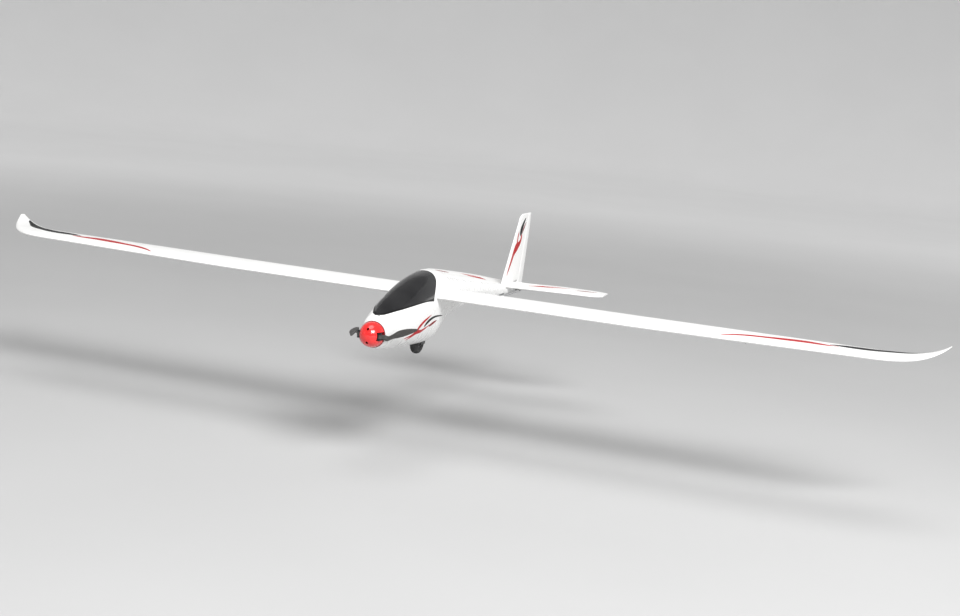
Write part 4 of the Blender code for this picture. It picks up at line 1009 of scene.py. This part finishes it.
def make_tail():
    tips = spread(TAIL_TIP_START, TAIL_HALF_SPAN - 0.0009, 0.0025) + [TAIL_HALF_SPAN]
    spans = spread(0.0, 0.215, 0.02) + tips
    thin = {x: 1.0 for x in spans}
    thin[spans[-2]] = 0.9
    thin[spans[-1]] = 0.55
    both = [-x for x in reversed(spans)] + spans[1:]
    rings = []
    for x in both:
        half = tail_half(abs(x))
        section = plank_section(tail_front(abs(x)), ELEVATOR_HINGE - half - COVE_GAP,
                                half * thin[abs(x)])
        rings.append([(x, s, TAIL_HEIGHT + h) for s, h in section])
    stabiliser = plain_object("stabiliser_skin", loft(rings))
    subtract(stabiliser, tail_screw_bore())
    finish_object(stabiliser, FOAM, "airframe", ["stabiliser"])

    bm = bmesh.new()
    inner = [ELEVATOR_INNER, 0.0124] + spread(0.02, 0.215, 0.015) + tips[:-1]
    thin = {x: 1.0 for x in inner}
    thin[ELEVATOR_INNER] = 0.9
    thin[inner[-1]] = 0.75
    for side, _ in SIDES:
        add_loft(bm, [[(side * x, s, TAIL_HEIGHT + h) for s, h in
                       hinged_section(ELEVATOR_HINGE, tail_back(x), tail_half(x) * thin[x])]
                      for x in inner])
    add_cylinder(bm, (-0.02, ELEVATOR_HINGE, TAIL_HEIGHT), (0.02, ELEVATOR_HINGE, TAIL_HEIGHT),
                 0.0024)
    add_piece("elevator_skin", bm, FOAM, "elevator", ["elevator"])

    heights = [FIN_BASE] + spread(0.03, FIN_TIP_START, 0.015) + spread(0.188, 0.2045, 0.002) + [FIN_TOP]
    rings = []
    for z in heights:
        half = rudder_half(z)
        shown = half * (0.6 if z == FIN_TOP else 1.0)
        section = plank_section(fin_front(z), rudder_hinge(z) - half - COVE_GAP - 0.0002, shown)
        rings.append([(x, s, z) for s, x in section])
    fin = plain_object("fin_skin", loft(rings))
    subtract(fin, tail_screw_bore())
    finish_object(fin, FOAM, "airframe", ["fin"])

    heights = ([RUDDER_BOTTOM, RUDDER_BOTTOM + 0.0006] + spread(-0.014, 0.171, 0.012)
               + spread(0.178, 0.2045, 0.006) + [FIN_TOP])
    rings = []
    for z in heights:
        shown = rudder_half(z) * (0.7 if z in (RUDDER_BOTTOM, FIN_TOP) else 1.0)
        section = hinged_section(rudder_hinge(z), rudder_back(z), shown)
        rings.append([(x, s, z) for s, x in section])
    add_piece("rudder_skin", loft(rings), FOAM, "rudder", ["rudder"])
    make_tail_stripes()


def tail_screw_bore():
    return add_cylinder(bmesh.new(), (0, TAIL_SCREW_STATION, -0.03),
                        (0, TAIL_SCREW_STATION, 0.033), 0.0018, 20)


FIN_STRIPES = (
    ("red_rising", RED_FILM, (
        (0.98, 0.04, 0.0006), (0.9904, 0.0531, 0.0034), (1.0043, 0.0687, 0.005),
        (1.0153, 0.0818, 0.0062), (1.0268, 0.0963, 0.0078), (1.04, 0.1075, 0.011),
        (1.053, 0.115, 0.0125), (1.068, 0.12, 0.009), (1.081, 0.127, 0.007),
        (1.089, 0.137, 0.0064), (1.088, 0.147, 0.005), (1.085, 0.153, 0.002))),
    ("red_front", RED_FILM, (
        (1.048, 0.114, 0.008), (1.053, 0.121, 0.0062), (1.055, 0.129, 0.005),
        (1.056, 0.14, 0.0042), (1.059, 0.149, 0.0034), (1.063, 0.158, 0.0006))),
    ("red_rear", DARK_RED_FILM, (
        (1.095, 0.15, 0.0006), (1.104, 0.161, 0.003), (1.115, 0.172, 0.0026),
        (1.125, 0.181, 0.0005))),
    ("black_point", BLACK_FILM, (
        (1.08, 0.144, 0.0006), (1.0805, 0.15, 0.008), (1.0835, 0.158, 0.0105),
        (1.0892, 0.166, 0.0095), (1.096, 0.1735, 0.0075), (1.104, 0.181, 0.0055),
        (1.112, 0.188, 0.0036), (1.119, 0.194, 0.0005))),
)
TAIL_STRIPES = (
    ("red", RED_FILM, (
        (0.062, 1.006, 0.0006), (0.076, 1.017, 0.005), (0.09, 1.028, 0.009),
        (0.105, 1.039, 0.012), (0.12, 1.05, 0.012), (0.135, 1.061, 0.008),
        (0.15, 1.071, 0.0034), (0.162, 1.079, 0.0005))),
    ("dark_red", DARK_RED_FILM, (
        (0.185, 1.048, 0.0005), (0.198, 1.056, 0.006), (0.212, 1.065, 0.008),
        (0.226, 1.073, 0.0055), (0.24, 1.081, 0.0006))),
)


def make_tail_stripes():
    for side, label in SIDES:
        def fin_place(station, height, lift, side=side):
            return side * (rudder_half(height) + lift), station, height

        def stabiliser_place(x, station, lift, side=side):
            return side * x, station, TAIL_HEIGHT + tail_half(x) + lift

        def elevator_place(x, station, lift, side=side):
            share = (station - ELEVATOR_HINGE) / (tail_back(x) - ELEVATOR_HINGE)
            half = tail_half(x) + (TRAILING_HALF - tail_half(x)) * share
            return side * x, station, TAIL_HEIGHT + half + lift

        for layer, (name, finish, path) in enumerate(FIN_STRIPES):
            ribbon("fin_stripe_%s_%s" % (name, label), path, fin_place, finish, "airframe",
                   layer=layer)
        for name, finish, path in TAIL_STRIPES:
            ribbon("stabiliser_stripe_%s_%s" % (name, label), path, stabiliser_place, finish,
                   "airframe", keep=(0.9, STABILISER_BACK))
            ribbon("elevator_stripe_%s_%s" % (name, label), path, elevator_place, finish,
                   "elevator", keep=(ELEVATOR_HINGE - 0.0004, 1.2))


# ---- propeller and spinner
# blade stations: distance from the pin, half chord, half thickness, centre height, twist
BLADE_SECTIONS = (
    (0.004, 0.0043, 0.0024, 0.0, 0),
    (0.013, 0.006, 0.0024, -0.0022, -8),
    (0.022, 0.0068, 0.002, -0.0046, -22),
    (0.032, 0.0092, 0.0016, -0.0012, -32),
    (0.042, 0.0118, 0.0014, 0.003, -34),
    (0.056, 0.012, 0.0012, 0.0055, -30),
    (0.074, 0.0092, 0.001, 0.0085, -24),
    (0.089, 0.0056, 0.0008, 0.011, -20),
    (0.0975, 0.003, 0.0006, 0.0126, -18),
    (0.1, 0.0012, 0.0004, 0.013, -18),
)


def blade_point(along, height, thickness, twist):
    c, s = math.cos(twist), math.sin(twist)
    across, up = thickness * c - height * s, thickness * s + height * c
    x = BLADE_PIVOT_RADIUS + along * math.sin(BLADE_SPLAY) + across * math.cos(BLADE_SPLAY)
    station = BLADE_PIVOT_STATION + along * math.cos(BLADE_SPLAY) - across * math.sin(BLADE_SPLAY)
    return x, station, up


def blade_ring(along, chord, half, centre, twist, sides=32):
    ring = []
    for i in range(sides):
        a = 2 * math.pi * i / sides
        x, s, z = blade_point(along, chord * math.cos(a),
                              half * math.copysign(abs(math.sin(a)) ** 1.25, math.sin(a)),
                              math.radians(twist))
        ring.append((x, s, z + centre))
    return ring


def make_propeller():
    sections = smooth_path(BLADE_SECTIONS, 6)
    for side, label in SIDES:
        bm = loft([[(side * x, s, side * z) for x, s, z in blade_ring(*section)]
                   for section in sections])
        ease = 0.0005
        profile = [(-LUG_HALF_HEIGHT, BLADE_PIN_RADIUS + 0.00015), (-LUG_HALF_HEIGHT, 0.005 - ease),
                   (-LUG_HALF_HEIGHT + ease, 0.005), (LUG_HALF_HEIGHT - ease, 0.005),
                   (LUG_HALF_HEIGHT, 0.005 - ease), (LUG_HALF_HEIGHT, BLADE_PIN_RADIUS + 0.00015)]
        add_turned(bm, profile, (side * BLADE_PIVOT_RADIUS, BLADE_PIVOT_STATION, 0), (0, 0, 1), 40)
        add_piece("blade_skin_" + label, bm, BLADE_GREY, "blade_" + label, ["blade_" + label])

    outer = [(-SPINNER_LENGTH * math.sin(math.radians(a)),
              SPINNER_RADIUS * math.cos(math.radians(a))) for a in range(0, 90, 3)]
    outer.append((-SPINNER_LENGTH, 0.0))
    wall = 0.0013
    scale_r = (SPINNER_RADIUS - wall) / SPINNER_RADIUS
    scale_s = (SPINNER_LENGTH - wall) / SPINNER_LENGTH
    inner = [(s * scale_s, r * scale_r) for s, r in reversed(outer)]
    cone = plain_object("spinner_shell", add_turned(bmesh.new(), outer + inner, (0, 0, 0),
                                                    (0, 1, 0), 96))
    tools = []
    for side, _ in SIDES:
        low_x, high_x = between(side, 0.0125, 0.05)
        slot = bmesh.new()
        add_box(slot, (low_x, -0.0235, -YOKE_HALF_HEIGHT - 0.0012),
                (high_x, 0.012, YOKE_HALF_HEIGHT + 0.0012), 0.0018, 4)
        tools.append(slot)
        tools.append(add_cylinder(bmesh.new(), (0, -0.06, side * 0.015),
                                  (0, -0.01, side * 0.015), 0.0028, 32))
    subtract(cone, *tools)
    finish_object(cone, SPINNER_RED, "propeller", ["spinner_cone"])

    ease = 0.0005
    rim = [(0.0002, 0.0024), (0.0002, BACKPLATE_RADIUS - ease),
           (0.0002 + ease, BACKPLATE_RADIUS), (0.0028 - ease, BACKPLATE_RADIUS),
           (0.0028, BACKPLATE_RADIUS - ease), (0.0028, 0.0024)]
    add_piece("spinner_base", add_turned(bmesh.new(), rim, (0, 0, 0), (0, 1, 0), 96),
              BACKPLATE_RED, "propeller", ["spinner_backplate"])


# ---- wheel
def make_wheel():
    centre = (0, WHEEL_STATION, WHEEL_HEIGHT)
    half = TYRE_WIDTH / 2
    rim = 0.0135
    crown = []
    for i in range(41):
        a = math.radians(-82 + 4.1 * i)
        groove = 0.0004 if i in (8, 14, 20, 26, 32) else 0.0
        crown.append((half * math.sin(a) * 0.98,
                      TYRE_RADIUS - 0.0075 + (0.0075 - groove) * math.cos(a)))
    profile = [(-half * 0.75, rim)] + crown + [(half * 0.75, rim)]
    add_piece("tyre_skin", add_turned(bmesh.new(), profile, centre, (1, 0, 0), 96), RUBBER,
              "main_wheel", ["tyre"], sharp=60)
    hub = [(-0.007, 0.0017), (-0.007, 0.0045), (-0.0066, 0.005), (-0.0044, 0.0058),
           (-0.004, 0.0062), (-0.004, 0.0103), (-0.0044, 0.0107), (-0.0062, 0.011),
           (-0.0065, 0.0113), (-0.0065, 0.0129), (-0.0062, rim - GAP)]
    profile = hub + [(-z, r) for z, r in reversed(hub)]
    wheel = plain_object("wheel_hub_disc", add_turned(bmesh.new(), profile, centre, (1, 0, 0), 72))
    holes = []
    for i in range(5):
        a = math.radians(18 + 72 * i)
        s, h = WHEEL_STATION + 0.0082 * math.cos(a), WHEEL_HEIGHT + 0.0082 * math.sin(a)
        holes.append(drilled((-0.02, 0.02), s, h, 0.0015))
    subtract(wheel, *holes)
    finish_object(wheel, HUB_GREY, "main_wheel", ["wheel_hub"])


# ---- radio gear inside the pod
def make_radio_gear():
    bm = bmesh.new()
    add_box(bm, (-0.015, 0.1075, TRAY_TOP + GAP), (0.015, 0.2025, -0.004), 0.0036, 5)
    for s in (0.1066, 0.2016):
        add_box(bm, (-0.0125, s, TRAY_TOP + 0.0025), (0.0125, s + 0.0018, -0.0065), 0.0006, 2)
    add_piece("battery_pack", bm, BATTERY_WRAP, "airframe", ["battery"])

    bm = bmesh.new()
    add_box(bm, (-0.0125, 0.063, TRAY_TOP + GAP), (0.0125, 0.099, -0.0205), 0.0022, 4)
    add_box(bm, (-0.0085, 0.067, -0.0208), (0.0085, 0.089, -0.019), 0.0007, 3)
    add_cylinder(bm, (-0.007, 0.0945, -0.0235), (0.007, 0.0945, -0.0235), 0.004, 32)
    add_piece("speed_controller_wrap", bm, CONTROLLER_WRAP, "airframe", ["speed_controller"])

    make_strap()

    bm = bmesh.new()
    add_box(bm, (-0.011, 0.35, SHELF_TOP + GAP), (0.011, 0.383, 0.0068), 0.0012, 3)
    add_box(bm, (-0.0108, 0.3502, 0.007), (0.0108, 0.376, 0.0135), 0.0012, 3)
    add_box(bm, (-0.0095, 0.377, 0.0066), (0.0095, 0.3822, 0.0095), 0.0004, 2)
    add_piece("receiver_case", bm, RECEIVER_CASE, "airframe", ["receiver"])
    bm = bmesh.new()
    for i in range(7):
        x = -0.00762 + 0.00254 * i
        for k in range(2):
            s = 0.3783 + 0.00254 * k
            add_box(bm, (x - 0.0003, s - 0.0003, 0.009), (x + 0.0003, s + 0.0003, 0.0128), 0.0001)
    add_piece("receiver_pins", bm, GOLD, "airframe")

    make_shelf_servo("elevator_servo", -0.016)
    make_shelf_servo("rudder_servo", 0.016)


def make_strap():
    """Webbing looped round the battery."""
    left, right, low, high = -0.01585, 0.01585, TRAY_TOP + 0.0007, -0.0032
    corner, half = 0.003, 0.00042
    path = []
    for cx, cz, start in ((right - corner, high - corner, 0), (left + corner, high - corner, 90),
                          (left + corner, low + corner, 180), (right - corner, low + corner, 270)):
        for i in range(7):
            a = math.radians(start + 15 * i)
            path.append((cx, cz, math.cos(a), math.sin(a)))
    front, back = 0.1462, 0.1638
    bm = bmesh.new()
    rings = []
    for cx, cz, nx, nz in path:
        rings.append([(cx + nx * (corner + d), s, cz + nz * (corner + d))
                      for s, d in ((front, -half * 0.6), (front + 0.0005, -half),
                                   (back - 0.0005, -half), (back, -half * 0.6),
                                   (back, half * 0.6), (back - 0.0005, half),
                                   (front + 0.0005, half), (front, half * 0.6))])
    add_loft(bm, rings + [rings[0]], closed_ends=False)
    bmesh.ops.remove_doubles(bm, verts=bm.verts, dist=1e-7)
    add_piece("battery_strap_webbing", bm, WEBBING, "airframe", ["battery_strap"])


def make_shelf_servo(name, x):
    """A standing servo: case in three mouldings, output boss and two case screws."""
    front, back = 0.3925, 0.4155
    bm = bmesh.new()
    for low, high in ((SHELF_TOP + GAP, 0.0056), (0.0058, 0.0158), (0.016, SHELF_SERVO_TOP - 0.001)):
        add_box(bm, (x - 0.006, front, low), (x + 0.006, back, high), 0.0005, 2)
    add_cylinder(bm, (x, 0.401, SHELF_SERVO_TOP - 0.0012), (x, 0.401, SHELF_SERVO_TOP), 0.0042, 32)
    for s in (front + 0.0013, back - 0.0013):
        for offset in (-0.0046, 0.0046):
            add_cylinder(bm, (x + offset, s, SHELF_SERVO_TOP - 0.0012),
                         (x + offset, s, SHELF_SERVO_TOP - 0.0006), 0.0008, 12)
    add_piece(name + "_case", bm, SERVO_CASE, "airframe", [name])


# ---- finishes for the kept CAD pieces
def dress_kept_nodes():
    kept = {
        CARBON: ["wing_joiner_tube"],
        CROSS_WIRE: ["wing_alignment_pin", "wheel_axle"],
        WIRE: ["pushrod_elevator", "pushrod_rudder", "prop_shaft", "tail_screw",
               "blade_pin_port", "blade_pin_starboard"],
        ALLOY: ["motor_mount"],
        BELL_BLACK: ["motor_bell", "prop_yoke"],
        COPPER: ["motor_stator"],
        PLYWOOD: ["battery_tray", "servo_tray"],
        BLACK_NYLON: ["wheel_bracket", "elevator_horn", "rudder_horn", "servo_arm_elevator",
                      "servo_arm_rudder"],
    }
    for kind in SERVO_SPANS:
        for _, label in SIDES:
            kept[BLACK_NYLON] += ["servo_arm_%s_%s" % (kind, label),
                                  "control_horn_%s_%s" % (kind, label)]
            kept[WIRE].append("pushrod_%s_%s" % (kind, label))
    for finish, names in kept.items():
        for name in names:
            for item in NODES[name].material_slots:
                item.material = finish


# ---- studio and camera
def make_studio():
    bm = bmesh.new()
    rings = [0.5, 2.0, 5.0, 8.0, 10.0, 12.0] + [12.0 + 3.0 * math.sin(math.radians(a))
                                                for a in range(10, 91, 10)] + [15.0]
    heights = [0.0] * 6 + [3.0 * (1 - math.cos(math.radians(a))) for a in range(10, 91, 10)] + [9.0]
    loops = []
    for radius, height in zip(rings, heights):
        loops.append([bm.verts.new((radius * math.cos(2 * math.pi * i / 96),
                                    radius * math.sin(2 * math.pi * i / 96), height))
                      for i in range(96)])
    for first, second in zip(loops, loops[1:]):
        for i in range(96):
            j = (i + 1) % 96
            bm.faces.new((first[i], second[i], second[j], first[j]))
    bm.faces.new(loops[0])
    bmesh.ops.recalc_face_normals(bm, faces=bm.faces)
    mesh = bpy.data.meshes.new("studio_floor")
    bm.to_mesh(mesh)
    bm.free()
    floor = bpy.data.objects.new("studio_floor", mesh)
    floor.location = (0, 0, FLOOR_HEIGHT)
    floor.data.materials.append(PAPER)
    floor.data.shade_smooth()
    bpy.context.scene.collection.objects.link(floor)

    world = bpy.data.worlds.new("studio")
    world.use_nodes = True
    background = world.node_tree.nodes["Background"]
    background.inputs["Color"].default_value = (1.0, 1.0, 1.0, 1.0)
    background.inputs["Strength"].default_value = 0.26
    bpy.context.scene.world = world
    bpy.context.scene.view_settings.view_transform = "Standard"


def add_light(name, location, target, power, size, color=(1.0, 1.0, 1.0)):
    data = bpy.data.lights.new(name, "AREA")
    data.shape = "RECTANGLE"
    data.size, data.size_y = size
    data.energy = power
    data.color = color
    lamp = bpy.data.objects.new(name, data)
    lamp.location = location
    lamp.rotation_mode = "QUATERNION"
    aim = Vector(target) - Vector(location)
    lamp.rotation_quaternion = aim.to_track_quat("-Z", "Y")
    bpy.context.scene.collection.objects.link(lamp)


def make_lights():
    sun = bpy.data.lights.new("overhead", "SUN")
    sun.energy = 0.95
    sun.angle = math.radians(38)
    lamp = bpy.data.objects.new("overhead", sun)
    lamp.rotation_euler = (math.radians(4), math.radians(-3), 0.0)
    bpy.context.scene.collection.objects.link(lamp)
    add_light("front_softbox", (4.0, -4.8, 5.0), (0.1, -0.2, 0.05), 900, (4.2, 3.0))


def make_camera():
    data = bpy.data.cameras.new("camera")
    data.lens = 60
    data.sensor_width = 36
    camera = bpy.data.objects.new("camera", data)
    turn = (Matrix.Rotation(math.radians(17.08), 3, "Z")
            @ Matrix.Rotation(math.radians(90 - 8.41), 3, "X")
            @ Matrix.Rotation(math.radians(5.84), 3, "Z"))
    camera.matrix_world = (Matrix.Translation((1.22809, -3.79188, 0.67443)) @ turn.to_4x4())
    bpy.context.scene.collection.objects.link(camera)
    bpy.context.scene.camera = camera


make_body()
make_canopy()
make_side_stripes()
for hand, hand_name in SIDES:
    make_wing(hand, hand_name)
make_tail()
make_propeller()
make_wheel()
make_radio_gear()
dress_kept_nodes()
make_studio()
make_lights()
make_camera()
